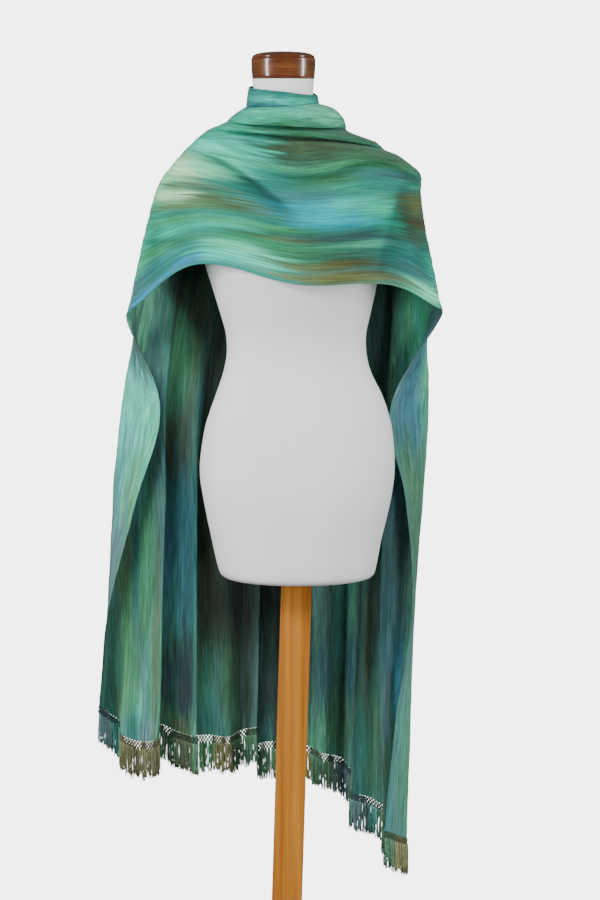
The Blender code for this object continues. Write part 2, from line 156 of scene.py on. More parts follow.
# Soft creases in the roll round the neck, in the same columns.
COLLAR_CREASES = (
    (-34, 1464, 4, 1452, 34, 1437, -6.0, 6, 7),
    (8, 1460, 44, 1458, 78, 1448, 5.0, 9, 7),
    (-70, 1459, -40, 1452, 0, 1446, 3.5, 6, 5),
    (-40, 1492, 0, 1484, 30, 1482, -2.2, 5, 4),
    (-46, 1481, -20, 1474, 14, 1473, 2.4, 4, 4),
)

# Heights at which the tails' fold lines are measured, in millimetres.
TAIL_LEVELS = (945, 765, 570, 390)

# Share of each tail's length at its measured stations, from the shoulder to the hem.
TAIL_STATIONS = (0.0, 0.14, 0.36, 0.53, 0.70, 0.86, 1.0)

# Fold lines of the left tail in millimetres, from the inner edge outwards:
# across, x y z behind the shoulder, x y at the four levels, x y z at the hem.
LEFT_TAIL_FOLDS = (
    (0.00, -16, 94, 1472, -43, 158, -43, 175, -48, 183, -52, 187, -54, 190, 323),
    (0.07, -36, 106, 1452, -72, 176, -76, 194, -78, 205, -80, 210, -80, 212, 313),
    (0.14, -56, 106, 1432, -103, 156, -108, 170, -110, 177, -112, 181, -110, 182, 306),
    (0.21, -76, 117, 1406, -130, 168, -141, 190, -145, 199, -145, 204, -141, 206, 304),
    (0.28, -94, 118, 1382, -144, 158, -168, 174, -177, 181, -178, 186, -172, 192, 307),
    (0.36, -114, 120, 1350, -159, 136, -162, 136, -164, 136, -166, 134, -166, 130, 319),
    (0.45, -141, 122, 1322, -193, 152, -198, 156, -206, 162, -213, 170, -213, 176, 322),
    (0.53, -166, 120, 1292, -222, 142, -234, 149, -240, 156, -244, 162, -242, 168, 338),
    (0.62, -190, 108, 1262, -216, 92, -218, 95, -225, 98, -230, 98, -236, 98, 323),
    (0.72, -216, 102, 1226, -255, 114, -262, 119, -269, 124, -268, 120, -269, 118, 314),
    (0.80, -236, 90, 1195, -280, 112, -292, 122, -289, 127, -297, 112, -300, 106, 329),
    (0.90, -260, 62, 1148, -291, 78, -312, 92, -322, 106, -320, 158, -310, 165, 341),
    (1.00, -279, 28, 1096, -222, 35, -269, 48, -320, 58, -342, 106, -346, 138, 375),
)

# Fold lines of the right tail, in the same columns.
RIGHT_TAIL_FOLDS = (
    (0.00, 4, 112, 1470, -48, 184, -51, 207, -54, 216, -56, 220, -56, 222, 282),
    (0.05, 24, 118, 1450, -18, 192, -20, 217, -22, 229, -24, 234, -24, 236, 284),
    (0.10, 46, 114, 1428, 18, 168, 14, 187, 11, 194, 8, 197, 6, 199, 283),
    (0.15, 66, 121, 1408, 52, 182, 50, 208, 47, 219, 44, 224, 42, 226, 278),
    (0.20, 86, 119, 1388, 86, 168, 82, 182, 79, 189, 75, 192, 73, 193, 271),
    (0.27, 103, 127, 1368, 122, 179, 119, 201, 115, 210, 109, 214, 106, 216, 256),
    (0.33, 118, 124, 1350, 151, 168, 148, 181, 145, 187, 137, 191, 134, 192, 224),
    (0.41, 138, 120, 1325, 141, 133, 138, 137, 135, 138, 126, 138, 122, 139, 213),
    (0.50, 161, 122, 1300, 168, 147, 166, 157, 163, 161, 158, 162, 157, 160, 196),
    (0.62, 192, 114, 1262, 199, 140, 193, 145, 188, 149, 186, 151, 188, 152, 178),
    (0.70, 209, 96, 1240, 185, 95, 179, 95, 174, 95, 174, 95, 182, 97, 172),
    (0.80, 230, 90, 1203, 238, 112, 229, 117, 220, 121, 211, 119, 213, 117, 142),
    (0.90, 254, 62, 1158, 257, 78, 249, 88, 236, 94, 231, 100, 224, 106, 134),
    (1.00, 276, 28, 1104, 189, 42, 218, 46, 230, 46, 203, 56, 182, 66, 160),
)

# Soft creases that hang down the tails: across at the top and at the bottom, where the crease
# starts and ends along the tail, its half width across and its height in millimetres.
LEFT_TAIL_CREASES = (
    (0.955, 0.9, 0.22, 0.52, 0.022, -4.0),
    (0.93, 0.96, 0.3, 0.62, 0.018, 3.0),
    (0.76, 0.7, 0.35, 0.8, 0.022, 3.2),
    (0.82, 0.84, 0.45, 0.98, 0.02, -3.2),
    (0.68, 0.69, 0.6, 1.05, 0.018, 2.6),
    (0.56, 0.59, 0.2, 0.7, 0.016, 2.4),
    (0.42, 0.47, 0.3, 1.05, 0.022, -3.0),
    (0.48, 0.5, 0.45, 1.05, 0.018, 2.6),
    (0.24, 0.26, 0.35, 1.05, 0.02, 2.6),
    (0.18, 0.16, 0.55, 1.05, 0.018, -2.6),
    (0.31, 0.32, 0.2, 0.9, 0.018, 2.4),
    (0.05, 0.04, 0.3, 1.05, 0.02, 2.2),
    (0.87, 0.88, 0.02, 0.3, 0.024, 3.0),
    (0.66, 0.64, 0.02, 0.32, 0.022, -3.0),
    (0.4, 0.39, 0.04, 0.3, 0.024, 3.0),
)
RIGHT_TAIL_CREASES = (
    (0.95, 0.935, 0.25, 0.6, 0.018, 3.4),
    (0.915, 0.96, 0.3, 0.7, 0.016, -3.0),
    (0.98, 0.975, 0.4, 0.85, 0.012, 2.2),
    (0.75, 0.76, 0.4, 1.05, 0.018, 3.0),
    (0.83, 0.82, 0.5, 1.05, 0.02, -2.8),
    (0.56, 0.55, 0.4, 1.05, 0.018, 2.8),
    (0.45, 0.46, 0.35, 0.95, 0.016, -2.6),
    (0.3, 0.29, 0.3, 1.05, 0.016, 2.6),
    (0.235, 0.24, 0.4, 1.05, 0.016, -2.4),
    (0.17, 0.18, 0.35, 1.05, 0.014, 2.4),
    (0.075, 0.07, 0.3, 1.05, 0.014, 2.2),
    (0.02, 0.025, 0.5, 1.05, 0.014, -2.0),
    (0.86, 0.88, 0.02, 0.3, 0.024, 3.0),
    (0.64, 0.66, 0.02, 0.34, 0.022, -3.0),
    (0.42, 0.4, 0.04, 0.3, 0.024, 3.0),
)

# Dye colours as they look in even light, on the 0 to 255 scale.
DYES = {
    "cream": (208, 254, 198),
    "mint": (132, 246, 196),
    "aqua": (82, 232, 208),
    "seafoam": (62, 202, 170),
    "turquoise": (10, 180, 194),
    "green": (80, 164, 116),
    "leaf": (74, 122, 92),
    "teal": (62, 142, 132),
    "sky": (60, 158, 202),
    "marine": (54, 110, 126),
    "slate": (88, 126, 132),
    "navy": (60, 76, 84),
    "olive": (122, 128, 82),
    "moss": (88, 106, 80),
    "brown": (98, 100, 70),
    "pine": (54, 70, 60),
    "gold": (108, 110, 76),
}

# The power that turns those values into the light that the cloth returns.
DYE_DEPTH = 2.6

# Painted shade in the chest's troughs: how much darker the colour is made for each millimetre that a
# trough goes down.
PAINTED_TROUGH_SHADE = 0.085

# The shade close behind the form, on the side of the cloth that faces it: its strength, then in
# metres its middle, half width, soft edges and foot on either side, and the grey that it leaves.
FORM_SHADE = 0.74
FORM_MIDDLE = 0.012
SHADE_REACH = 0.18
SHADE_EDGE = 0.024
SHADE_FADE = 0.09
SHADE_FOOT_LEFT = 0.5
SHADE_FOOT_RIGHT = 0.74
SHADE_GREY = 0.024

# From this height up it is wider on the left, under the cloth that hangs from the shoulder.
SHADE_WIDENS = 1.11
SHADE_WIDER_LEFT = 0.06

# The power that lifts the tails' dyes, which hang in weaker light, and their share of grey.
TAIL_LIFT = 0.84
TAIL_GREY = 0.15

# Rows on either side of a shoulder over which the front's dyes run into a tail's.
BLEND_ROWS = 14

# The dyed ground: its dyes, the number and strength of its patches and its seed.
GROUND_DYES = (
    "seafoam", "teal", "green", "leaf", "slate", "teal", "leaf", "moss", "slate", "green")
GROUND_PATCHES = 190
GROUND_STRENGTH = 0.6
GROUND_SEED = 11

# Shortest and longest, narrowest and widest half of a ground patch, in metres.
GROUND_LENGTHS = (0.06, 0.20)
GROUND_WIDTHS = (0.010, 0.036)

# How abruptly a patch stops at its ends and, on the placed ones, at its sides.
PATCH_END = 5.0
PATCH_SIDE = 2.6

# Groups of threads that end a patch at uneven places: length along and across, seed. Then how
# uneven the ends are, in half lengths of the patch.
THREAD_GROUPS = ((0.16, 0.006, 21), (0.3, 0.015, 22))
RAGGED_TAIL = 0.55
RAGGED_FRONT = 0.6

# Dyed patches on the front: along, across, half length, half width, dye, strength.
FRONT_DYES = (
    (0.0, 0.03, 1.3, 0.055, "teal", 0.9),
    (0.1, 0.045, 0.7, 0.018, "aqua", 0.5),
    (-0.38, 0.058, 0.36, 0.014, "marine", 1.0),
    (-0.44, 0.06, 0.28, 0.01, "navy", 0.7),
    (-0.3, 0.12, 0.6, 0.05, "seafoam", 0.8),
    (-0.2, 0.105, 0.4, 0.016, "aqua", 0.3),
    (-0.06, 0.125, 0.2, 0.03, "green", 0.5),
    (0.52, 0.125, 0.32, 0.04, "mint", 0.5),
    (0.1, 0.15, 0.3, 0.016, "leaf", 0.8),
    (-0.6, 0.22, 0.6, 0.04, "seafoam", 0.9),
    (0.4, 0.225, 0.7, 0.045, "leaf", 0.9),
    (-0.5, 0.3, 0.4, 0.035, "seafoam", 0.9),
    (-0.62, 0.385, 0.34, 0.055, "aqua", 1.0),
    (-0.3, 0.36, 0.18, 0.035, "seafoam", 0.8),
    (0.22, 0.33, 0.4, 0.06, "moss", 1.0),
    (0.1, 0.35, 0.3, 0.03, "pine", 0.5),
    (0.75, 0.35, 0.4, 0.055, "leaf", 1.0),
    (0.12, 0.402, 0.6, 0.016, "green", 0.6),
    (-0.74, 0.49, 0.18, 0.055, "cream", 0.9),
    (-0.48, 0.47, 0.2, 0.035, "mint", 1.0),
    (-0.92, 0.56, 0.14, 0.08, "mint", 0.8),
    (-0.3, 0.44, 0.16, 0.03, "seafoam", 0.7),
    (-0.52, 0.56, 0.22, 0.022, "brown", 0.55),
    (-0.36, 0.62, 0.24, 0.034, "brown", 0.75),
    (-0.16, 0.655, 0.2, 0.018, "brown", 0.7),
    (-0.7, 0.615, 0.16, 0.03, "cream", 0.7),
    (-0.62, 0.665, 0.2, 0.014, "olive", 0.7),
    (-0.12, 0.49, 0.16, 0.07, "teal", 0.9),
    (0.02, 0.555, 0.14, 0.04, "slate", 0.6),
    (0.2, 0.465, 0.2, 0.036, "leaf", 0.9),
    (0.56, 0.5, 0.2, 0.06, "teal", 0.9),
    (0.64, 0.455, 0.2, 0.022, "slate", 0.8),
    (0.08, 0.615, 0.2, 0.05, "turquoise", 0.8),
    (0.19, 0.68, 0.18, 0.05, "turquoise", 1.0),
    (0.24, 0.6, 0.1, 0.04, "aqua", 0.4),
    (0.4, 0.63, 0.1, 0.07, "seafoam", 0.9),
    (0.46, 0.72, 0.1, 0.04, "seafoam", 0.7),
    (0.78, 0.6, 0.2, 0.06, "olive", 0.9),
    (0.8, 0.69, 0.2, 0.036, "brown", 0.9),
    (0.66, 0.76, 0.14, 0.03, "moss", 0.7),
    (-0.52, 0.765, 0.18, 0.04, "seafoam", 0.9),
    (-0.26, 0.745, 0.16, 0.032, "seafoam", 0.9),
    (-0.2, 0.74, 0.22, 0.02, "green", 0.8),
    (-0.55, 0.73, 0.22, 0.016, "green", 0.7),
    (-0.4, 0.85, 0.3, 0.022, "green", 0.8),
    (-0.9, 0.8, 0.16, 0.11, "seafoam", 0.8),
    (-0.74, 0.84, 0.14, 0.04, "green", 0.7),
    (-0.1, 0.85, 0.18, 0.07, "green", 0.8),
    (-0.02, 0.79, 0.16, 0.016, "olive", 0.7),
    (0.22, 0.78, 0.24, 0.018, "slate", 0.7),
    (0.3, 0.815, 0.18, 0.02, "mint", 0.5),
    (0.2, 0.86, 0.24, 0.02, "moss", 0.6),
    (0.22, 0.905, 0.18, 0.024, "brown", 1.0),
    (0.04, 0.92, 0.16, 0.02, "olive", 0.7),
    (0.18, 0.97, 0.26, 0.03, "olive", 1.0),
    (0.28, 0.95, 0.12, 0.012, "brown", 0.6),
    (0.56, 0.86, 0.18, 0.075, "teal", 0.9),
    (0.62, 0.9, 0.14, 0.024, "slate", 0.8),
    (0.8, 0.965, 0.22, 0.036, "mint", 1.0),
    (0.88, 0.85, 0.12, 0.06, "seafoam", 0.7),
    (-0.26, 0.915, 0.15, 0.06, "aqua", 1.0),
    (-0.24, 0.88, 0.12, 0.02, "mint", 0.8),
    (-0.45, 0.96, 0.06, 0.026, "sky", 0.8),
    (-0.8, 1.0, 0.28, 0.045, "slate", 1.0),
    (-0.74, 0.94, 0.18, 0.016, "teal", 0.8),
    (-0.68, 0.93, 0.14, 0.04, "teal", 0.9),
    (-0.86, 0.95, 0.18, 0.06, "slate", 0.8),
    (-0.74, 0.985, 0.16, 0.018, "sky", 0.7),
)

# Dyed patches on the left tail, in the same columns. A few stand for painted light and painted shade,
# as marked below.
LEFT_TAIL_DYES = (
    # Partly painted light: these two mint patches are brighter than the cloth's own grey-teal, to
    # light the inside of the loop under the left shoulder, which hangs in shade.
    (0.12, 0.84, 0.1, 0.15, "mint", 0.9),
    (0.2, 0.78, 0.09, 0.1, "mint", 1.0),
    (0.22, 0.86, 0.05, 0.02, "slate", 0.8),
    (0.32, 0.93, 0.07, 0.06, "seafoam", 0.9),
    (0.26, 0.975, 0.05, 0.03, "slate", 0.9),
    (0.38, 0.985, 0.1, 0.024, "seafoam", 1.0),
    (0.44, 0.93, 0.12, 0.04, "seafoam", 0.9),
    (0.23, 0.95, 0.05, 0.06, "navy", 0.9),
    (0.42, 0.875, 0.12, 0.018, "mint", 0.8),
    (0.54, 0.975, 0.08, 0.03, "green", 0.9),
    (0.54, 0.915, 0.1, 0.03, "teal", 0.9),
    (0.64, 0.95, 0.1, 0.05, "slate", 0.9),
    (0.88, 0.95, 0.16, 0.05, "teal", 0.8),
    (0.3, 0.7, 0.14, 0.07, "slate", 0.8),
    (0.44, 0.7, 0.12, 0.06, "slate", 0.9),
    (0.52, 0.74, 0.08, 0.06, "teal", 0.9),
    (0.64, 0.69, 0.11, 0.03, "green", 1.0),
    (0.64, 0.81, 0.1, 0.045, "moss", 1.0),
    (0.56, 0.84, 0.08, 0.04, "leaf", 0.8),
    (0.76, 0.8, 0.09, 0.04, "green", 0.8),
    (0.84, 0.77, 0.09, 0.05, "green", 0.9),
    (0.9, 0.73, 0.05, 0.03, "seafoam", 0.7),
    (0.96, 0.76, 0.06, 0.06, "teal", 0.9),
    (0.8, 0.65, 0.2, 0.014, "moss", 0.9),
    (0.97, 0.69, 0.05, 0.03, "slate", 0.9),
    # Painted shade: this pine patch and the one two rows down darken the top of the inner fold, under
    # the cloth that hangs over it.
    (0.23, 0.56, 0.06, 0.08, "pine", 1.0),
    (0.3, 0.49, 0.07, 0.07, "green", 1.0),
    (0.24, 0.44, 0.05, 0.05, "pine", 0.8),
    (0.34, 0.39, 0.12, 0.026, "brown", 0.5),
    (0.44, 0.5, 0.06, 0.08, "moss", 0.9),
    (0.44, 0.42, 0.1, 0.02, "brown", 0.6),
    (0.6, 0.48, 0.12, 0.12, "marine", 0.9),
    (0.58, 0.43, 0.08, 0.02, "teal", 0.6),
    (0.84, 0.47, 0.09, 0.09, "navy", 0.9),
    (0.8, 0.54, 0.08, 0.03, "slate", 0.8),
    (0.95, 0.5, 0.06, 0.05, "leaf", 0.9),
    (0.97, 0.42, 0.06, 0.04, "green", 0.8),
    (0.82, 0.25, 0.1, 0.04, "green", 0.7),
    (0.94, 0.22, 0.1, 0.08, "teal", 0.8),
    (0.72, 0.18, 0.08, 0.2, "pine", 0.9),
    (0.84, 0.13, 0.08, 0.05, "leaf", 0.7),
    (0.92, 0.32, 0.12, 0.026, "pine", 0.9),
    (0.86, 0.05, 0.22, 0.05, "pine", 0.9),
    (0.3, 0.18, 0.24, 0.08, "moss", 0.7),
    (0.52, 0.2, 0.16, 0.1, "moss", 0.8),
    (0.62, 0.4, 0.12, 0.045, "marine", 0.9),
    (0.84, 0.4, 0.1, 0.045, "navy", 1.0),
    (0.98, 0.42, 0.05, 0.05, "moss", 0.9),
    (0.24, 0.4, 0.06, 0.06, "leaf", 0.8),
)

# Dyed patches on the right tail, in the same columns.
RIGHT_TAIL_DYES = (
    (0.14, 0.87, 0.1, 0.11, "green", 1.0),
    (0.23, 0.85, 0.07, 0.08, "seafoam", 0.9),
    (0.22, 0.77, 0.06, 0.03, "green", 0.8),
    (0.2, 0.99, 0.2, 0.02, "slate", 1.0),
    (0.28, 0.96, 0.1, 0.03, "marine", 0.9),
    (0.36, 0.955, 0.08, 0.03, "marine", 0.9),
    (0.36, 0.895, 0.1, 0.03, "green", 1.0),
    (0.44, 0.93, 0.07, 0.03, "marine", 0.9),
    (0.52, 0.955, 0.08, 0.045, "leaf", 1.0),
    (0.55, 0.89, 0.1, 0.03, "green", 0.9),
    (0.66, 0.94, 0.1, 0.05, "leaf", 0.9),
    (0.8, 0.96, 0.08, 0.04, "slate", 0.8),
    (0.88, 0.9, 0.12, 0.06, "green", 0.8),
    (0.94, 0.85, 0.08, 0.02, "brown", 0.5),
    (0.5, 0.74, 0.07, 0.06, "marine", 0.8),
    (0.64, 0.76, 0.1, 0.06, "slate", 0.9),
    (0.74, 0.71, 0.1, 0.04, "marine", 0.7),
    (0.84, 0.78, 0.07, 0.022, "sky", 0.8),
    (0.86, 0.74, 0.08, 0.03, "slate", 0.8),
    (0.96, 0.76, 0.06, 0.05, "leaf", 0.9),
    (0.76, 0.48, 0.1, 0.03, "brown", 0.7),
    (0.78, 0.42, 0.28, 0.026, "pine", 0.8),
    (0.78, 0.6, 0.26, 0.045, "pine", 1.0),
    (0.92, 0.52, 0.08, 0.06, "leaf", 0.9),
    (0.95, 0.46, 0.06, 0.03, "teal", 0.9),
    (0.68, 0.2, 0.14, 0.02, "navy", 0.8),
    (0.7, 0.25, 0.09, 0.034, "teal", 1.0),
    (0.76, 0.32, 0.08, 0.02, "moss", 0.8),
    (0.84, 0.2, 0.07, 0.04, "marine", 0.9),
    (0.92, 0.26, 0.08, 0.06, "leaf", 0.9),
    (0.82, 0.29, 0.06, 0.024, "marine", 0.9),
    (0.8, 0.08, 0.3, 0.07, "pine", 0.9),
    (0.24, 0.64, 0.12, 0.1, "pine", 0.9),
    (0.76, 0.16, 0.14, 0.14, "pine", 0.5),
    (0.38, 0.66, 0.14, 0.06, "pine", 0.9),
    (0.3, 0.3, 0.16, 0.06, "leaf", 0.6),
    (0.3, 0.15, 0.2, 0.07, "seafoam", 0.5),
    (0.18, 0.48, 0.1, 0.08, "teal", 0.6),
)

# Dyes of the fringe: across where the dye starts, dye.
LEFT_FRINGE_DYES = (
    (0.0, "leaf"), (0.12, "olive"), (0.2, "green"), (0.26, "olive"), (0.32, "leaf"),
    (0.38, "moss"), (0.44, "leaf"), (0.5, "green"), (0.56, "olive"), (0.62, "gold"),
    (0.84, "olive"), (0.88, "teal"), (0.94, "slate"),
)
RIGHT_FRINGE_DYES = (
    (0.0, "leaf"), (0.08, "olive"), (0.16, "leaf"), (0.24, "slate"), (0.3, "olive"),
    (0.36, "leaf"), (0.42, "slate"), (0.5, "teal"), (0.56, "leaf"), (0.62, "olive"),
    (0.68, "leaf"), (0.76, "gold"), (0.9, "olive"), (0.96, "leaf"),
)

# The fringe, in metres.
TASSEL_PITCH = 0.0063
NET_ROWS = 3
NET_ROW_DROP = 0.0044
NET_TOP_DROP = 0.0001
CORD_RADIUS = 0.00165
KNOT_RADIUS = 0.00255
TASSEL_LENGTH = 0.057
TASSEL_THREADS = 12
TASSEL_SPREAD = 0.0031
TASSEL_LEAN = 0.0016
THREAD_RADIUS = 0.00105
THREAD_POINTS = 8

# Width and height of a knot's rings in knot radii, and the light on the net and the tassels.
KNOT_RINGS = ((0.55, 0.75), (1.0, 0.0), (0.6, -0.8))
NET_SHADE = 0.5
TASSEL_SHADE = 1.2

# Sections of the dress form in millimetres: height, half width, front, back, middle x.
FORM_SECTIONS = (
    (643, 122, -86, 88, 23),
    (646, 131, -93, 95, 23),
    (656, 139, -99, 101, 22),
    (712, 151, -106, 108, 21),
    (782, 166, -112, 118, 22),
    (838, 173, -111, 122, 22),
    (904, 167, -102, 114, 24),
    (940, 158, -96, 103, 25),
    (973, 146, -90, 91, 25),
    (1012, 130, -86, 79, 22),
    (1046, 123, -86, 73, 21),
    (1080, 124, -92, 73, 20),
    (1113, 132, -104, 76, 19),
    (1159, 144, -124, 84, 17),
    (1194, 152, -137, 90, 14),
    (1240, 158, -133, 96, 10),
    (1290, 163, -116, 98, 7),
    (1330, 165, -92, 97, 4),
    (1365, 153, -75, 90, 1),
    (1390, 126, -58, 81, -1),
    (1410, 96, -47, 73, -2),
    (1430, 68, -36, 68, -2),
    (1455, 54, -35, 66, -2),
    (1480, 51, -35, 63, -2),
    (1500, 52, -36, 64, -2),
    (1521, 54, -38, 68, -2),
)
FORM_AROUND = 120
FORM_ROWS = 160

# Share of the sections' size, which keeps the form clear of the cloth.
FORM_SHARE = 0.998

# The neck cap in metres: the middle of its foot, then radius and height from its top down.
CAP_PLACE = (-0.002, 0.015, 1.5713)
CAP_PROFILE = (
    (0.0, 0.0477), (0.02, 0.0474), (0.036, 0.0462), (0.047, 0.044), (0.0535, 0.0405),
    (0.0548, 0.039), (0.0545, 0.0378), (0.0536, 0.0372), (0.0545, 0.0366), (0.0556, 0.0355),
    (0.056, 0.034), (0.056, 0.026), (0.0556, 0.016), (0.0548, 0.006), (0.0544, 0.0018),
    (0.0534, 0.0004), (0.0522, 0.0), (0.0, 0.0),
)
CAP_AROUND = 96

# The weave in radians per metre: its ribs along and across the cloth, and its threads.
RIB_TURNS = 1500.0
RIB_SLANT = 700.0
THREAD_TURNS = 5200.0

# The studio in metres: the radius of its level floor, of the curve up from it, and its height.
# Then the number of its sides.
STUDIO_RADIUS = 6.0
STUDIO_CURVE = 2.5
STUDIO_TOP = 9.0
STUDIO_AROUND = 72

# Lamps: name, place, height of the point on the form's axis that they face, width, height,
# power in watts, and whether they show in glossy varnish.
LAMPS = (
    ("key", (-1.1, -2.7, 3.3), 1.15, 1.2, 1.0, 108.0, False),
    ("left", (-2.7, -1.5, 1.8), 1.15, 0.5, 2.2, 74.0, True),
    ("right", (2.9, -0.7, 1.8), 1.15, 0.5, 2.2, 72.0, True),
    ("fill_left", (-1.6, -3.6, 1.1), 0.95, 0.8, 1.4, 32.0, False),
    ("fill_right", (1.6, -3.6, 1.1), 0.95, 0.8, 1.4, 46.0, False),
    ("back", (0.0, 3.2, 2.4), 1.1, 2.2, 1.6, 40.0, False),
)

# The camera: place in metres, degrees downwards, lens and sensor height in millimetres.
CAMERA_PLACE = (0.027, -4.2, 1.46)
CAMERA_PITCH = 7.3
LENS = 95.68
SENSOR = 36.0


def smooth_read(points, knots, where):
    """Read a smooth curve through points[i] at knots[i] at each value in where."""
    points = np.asarray(points, float)
    knots = np.asarray(knots, float)
    gaps = np.linalg.norm(np.diff(points, axis=0), axis=-1, keepdims=True) ** 0.5
    gaps = np.maximum(gaps, 1e-6)
    slopes = np.diff(points, axis=0) / gaps
    middle = (points[2:] - points[:-2]) / (gaps[:-1] + gaps[1:])
    tangents = np.concatenate((slopes[:1], middle, slopes[-1:]))
    where = np.asarray(where, float)
    span = np.clip(np.searchsorted(knots, where, side="right") - 1, 0, len(knots) - 2)
    part = (where - knots[span]) / (knots[span + 1] - knots[span])
    part = part.reshape(part.shape + (1,) * (points.ndim - 1))
    width = gaps[span]
    return (
        (2 * part**3 - 3 * part**2 + 1) * points[span]
        + (part**3 - 2 * part**2 + part) * width * tangents[span]
        + (3 * part**2 - 2 * part**3) * points[span + 1]
        + (part**3 - part**2) * width * tangents[span + 1]
    )


def metres(points):
    """Table points in millimetres as metres above the floor."""
    return np.asarray(points, float) * MM + np.array((0.0, 0.0, TABLE_LEVEL))


def fade(distance, width):
    """How far a distance reaches into a soft edge of the given width, from 0 to 1."""
    return np.clip(distance / width, 0.0, 1.0)


def step_height(x, z, step):
    """Height that one soft overlap adds at a place on the chest, in millimetres."""
    x0, z0, x1, z1, x2, z2, height, rise, fall = step
    best = np.full(np.shape(x), 1e9)
    signed = np.zeros(np.shape(x))
    along = np.zeros(np.shape(x))
    for share in np.linspace(0.0, 1.0, STEP_SAMPLES):
        rest = 1.0 - share
        line_x = rest * rest * x0 + 2 * rest * share * x1 + share * share * x2
        line_z = rest * rest * z0 + 2 * rest * share * z1 + share * share * z2
        run_x = 2 * rest * (x1 - x0) + 2 * share * (x2 - x1)
        run_z = 2 * rest * (z1 - z0) + 2 * share * (z2 - z1)
        distance = np.hypot(x - line_x, z - line_z)
        side = np.sign(run_x * (z - line_z) - run_z * (x - line_x))
        nearer = distance < best
        best = np.where(nearer, distance, best)
        signed = np.where(nearer, side * distance, signed)
        along = np.where(nearer, share, along)
    signed = signed * np.sign(x2 - x0)
    # It tapers towards both ends of its line, and dies out at the far one.
    taper = np.clip(np.sin(math.pi * np.clip(0.06 + 0.94 * along, 0, 1)), 0, 1) ** 0.6
    width = np.where(signed > 0, rise, fall)
    return height * taper * np.exp(-(signed / width) ** 2)


def front_points(along, across, creased=True):
    """The front's surface, in millimetres: along runs from -1 at the left shoulder to 1."""
    table = np.array(FRONT_FOLDS, float)
    across = np.asarray(across, float)
    sines = np.sin(0.5 * math.pi * np.asarray(along, float))
    lines = np.stack([table[:, 2 + 2 * i:4 + 2 * i] for i in range(5)])
    lines = np.concatenate((lines, np.repeat(table[None, :, 1:2], 5, axis=0)), axis=2)
    rows = smooth_read(np.swapaxes(lines, 0, 1), table[:, 0], across)
    sheet = smooth_read(np.swapaxes(rows, 0, 1), FRONT_SINES, sines)
    x, z, depth = sheet[..., 0], sheet[..., 1], sheet[..., 2]
    left, middle, right = rows[:, 0, 0], rows[:, 2, 0], rows[:, 4, 0]
    reach = np.where(x < middle, middle - left, right - middle)
    share = np.clip(np.abs(x - middle) / reach, 0.0, 1.0)
    power = OVAL_POWER - OVAL_FLATTER * across
    y = SIDE_DEPTH + (depth - SIDE_DEPTH) * (1.0 - share**power) ** (1.0 / power)
    facing = fade(-y, CHEST_FADE)
    for step in CHEST_STEPS:
        y = y - step_height(x, z, step) * facing
    if creased:
        below_neck = fade(across - NECK_END, NECK_EDGE)
        for step in CHEST_CREASES:
            y = y - step_height(x, z, step) * facing * below_neck
        on_collar = fade(COLLAR_END - across, COLLAR_EDGE)
        for step in COLLAR_CREASES:
            y = y - step_height(x, z, step) * fade(-y, COLLAR_FADE) * on_collar
    return np.stack((x, y, z), axis=-1)


def tail_points(folds, shoulder_along, along, across):
    """A tail's surface, in millimetres: along runs from 0 at the shoulder to 1 at the hem."""
    across = np.asarray(across, float)
    table = np.array(folds, float)
    stations = [front_points([shoulder_along], across, False)[0]]
    stations.append(smooth_read(table[:, 1:4], table[:, 0], across))
    for index, level in enumerate(TAIL_LEVELS):
        first = 4 + 2 * index
        flat = np.column_stack((table[:, first:first + 2], np.full(len(table), float(level))))
        stations.append(smooth_read(flat, table[:, 0], across))
    stations.append(smooth_read(table[:, 12:15], table[:, 0], across))
    # One more station before the shoulder turns the tail's start into the front's direction.
    arriving = stations[0] - front_points([shoulder_along * 0.96], across, False)[0]
    arriving /= np.linalg.norm(arriving, axis=1, keepdims=True)
    reach = np.linalg.norm(stations[1] - stations[0], axis=1, keepdims=True)
    before = stations[1] - 2.0 * reach * arriving
    return smooth_read(np.stack([before] + stations), (-0.05,) + TAIL_STATIONS, along)


def grid_normals(points):
    """Unit normals of a grid of points."""
    normals = np.cross(np.gradient(points, axis=0), np.gradient(points, axis=1))
    return normals / np.maximum(np.linalg.norm(normals, axis=2, keepdims=True), 1e-9)


def soft_noise(u, v, size_u, size_v, seed):
    """A smooth uneven pattern between -1 and 1: a few crossed waves with unlike lengths."""
    random = np.random.RandomState(seed)
    total = np.zeros(np.broadcast(u, v).shape)
    for _ in range(7):
        turn_u = random.uniform(0.5, 1.6) / size_u
        turn_v = random.uniform(0.5, 1.6) / size_v * random.choice((-1, 1))
        total = total + np.sin(2 * math.pi * (turn_u * u + turn_v * v) + random.uniform(0, 7))
    return total / 3.0


def hanging_creases(along, across, creases):
    """Height in millimetres of the soft creases that hang down a tail."""
    height = np.zeros((len(along), len(across)))
    for top, bottom, start, end, half, rise in creases:
        share = fade(along - start, end - start)
        line = top + (bottom - top) * share + CREASE_WANDER * np.sin(9.0 * share + 40.0 * top)
        taper = np.clip(np.sin(math.pi * share), 0.0, 1.0) ** 0.7
        if end > 1.0:
            # This one runs out over the hem, at its full height from a third of the way.
            taper = np.clip(share * 3.0, 0.0, 1.0)
        shape = np.exp(-((across[None, :] - line[:, None]) / half) ** 2)
        height += rise * taper[:, None] * shape
    return height


def dye_color(name):
    """A dye as a linear colour, deepened as it looks in the shade of its own threads."""
    return (np.array(DYES[name], float) / 255.0) ** DYE_DEPTH


def soft_ends(ends):
    """How strong a patch is at a distance along it, counted in its half lengths."""
    return 1.0 / (1.0 + np.exp((ends - 1.0) * PATCH_END))


def paint_patches(color, along, across, patches, jitter):
    """Lay soft-ended patches of dye on a grid of colours; a few of them are painted light and shade.
    """
    for place, line, long, wide, dye, strength in patches:
        body = soft_ends(np.abs(along[:, None] + jitter * long - place) / long)
        shape = np.exp(-(np.abs(across[None, :] - line) / wide) ** PATCH_SIDE)
        color += (strength * body * shape)[..., None] * (dye_color(dye) - color)


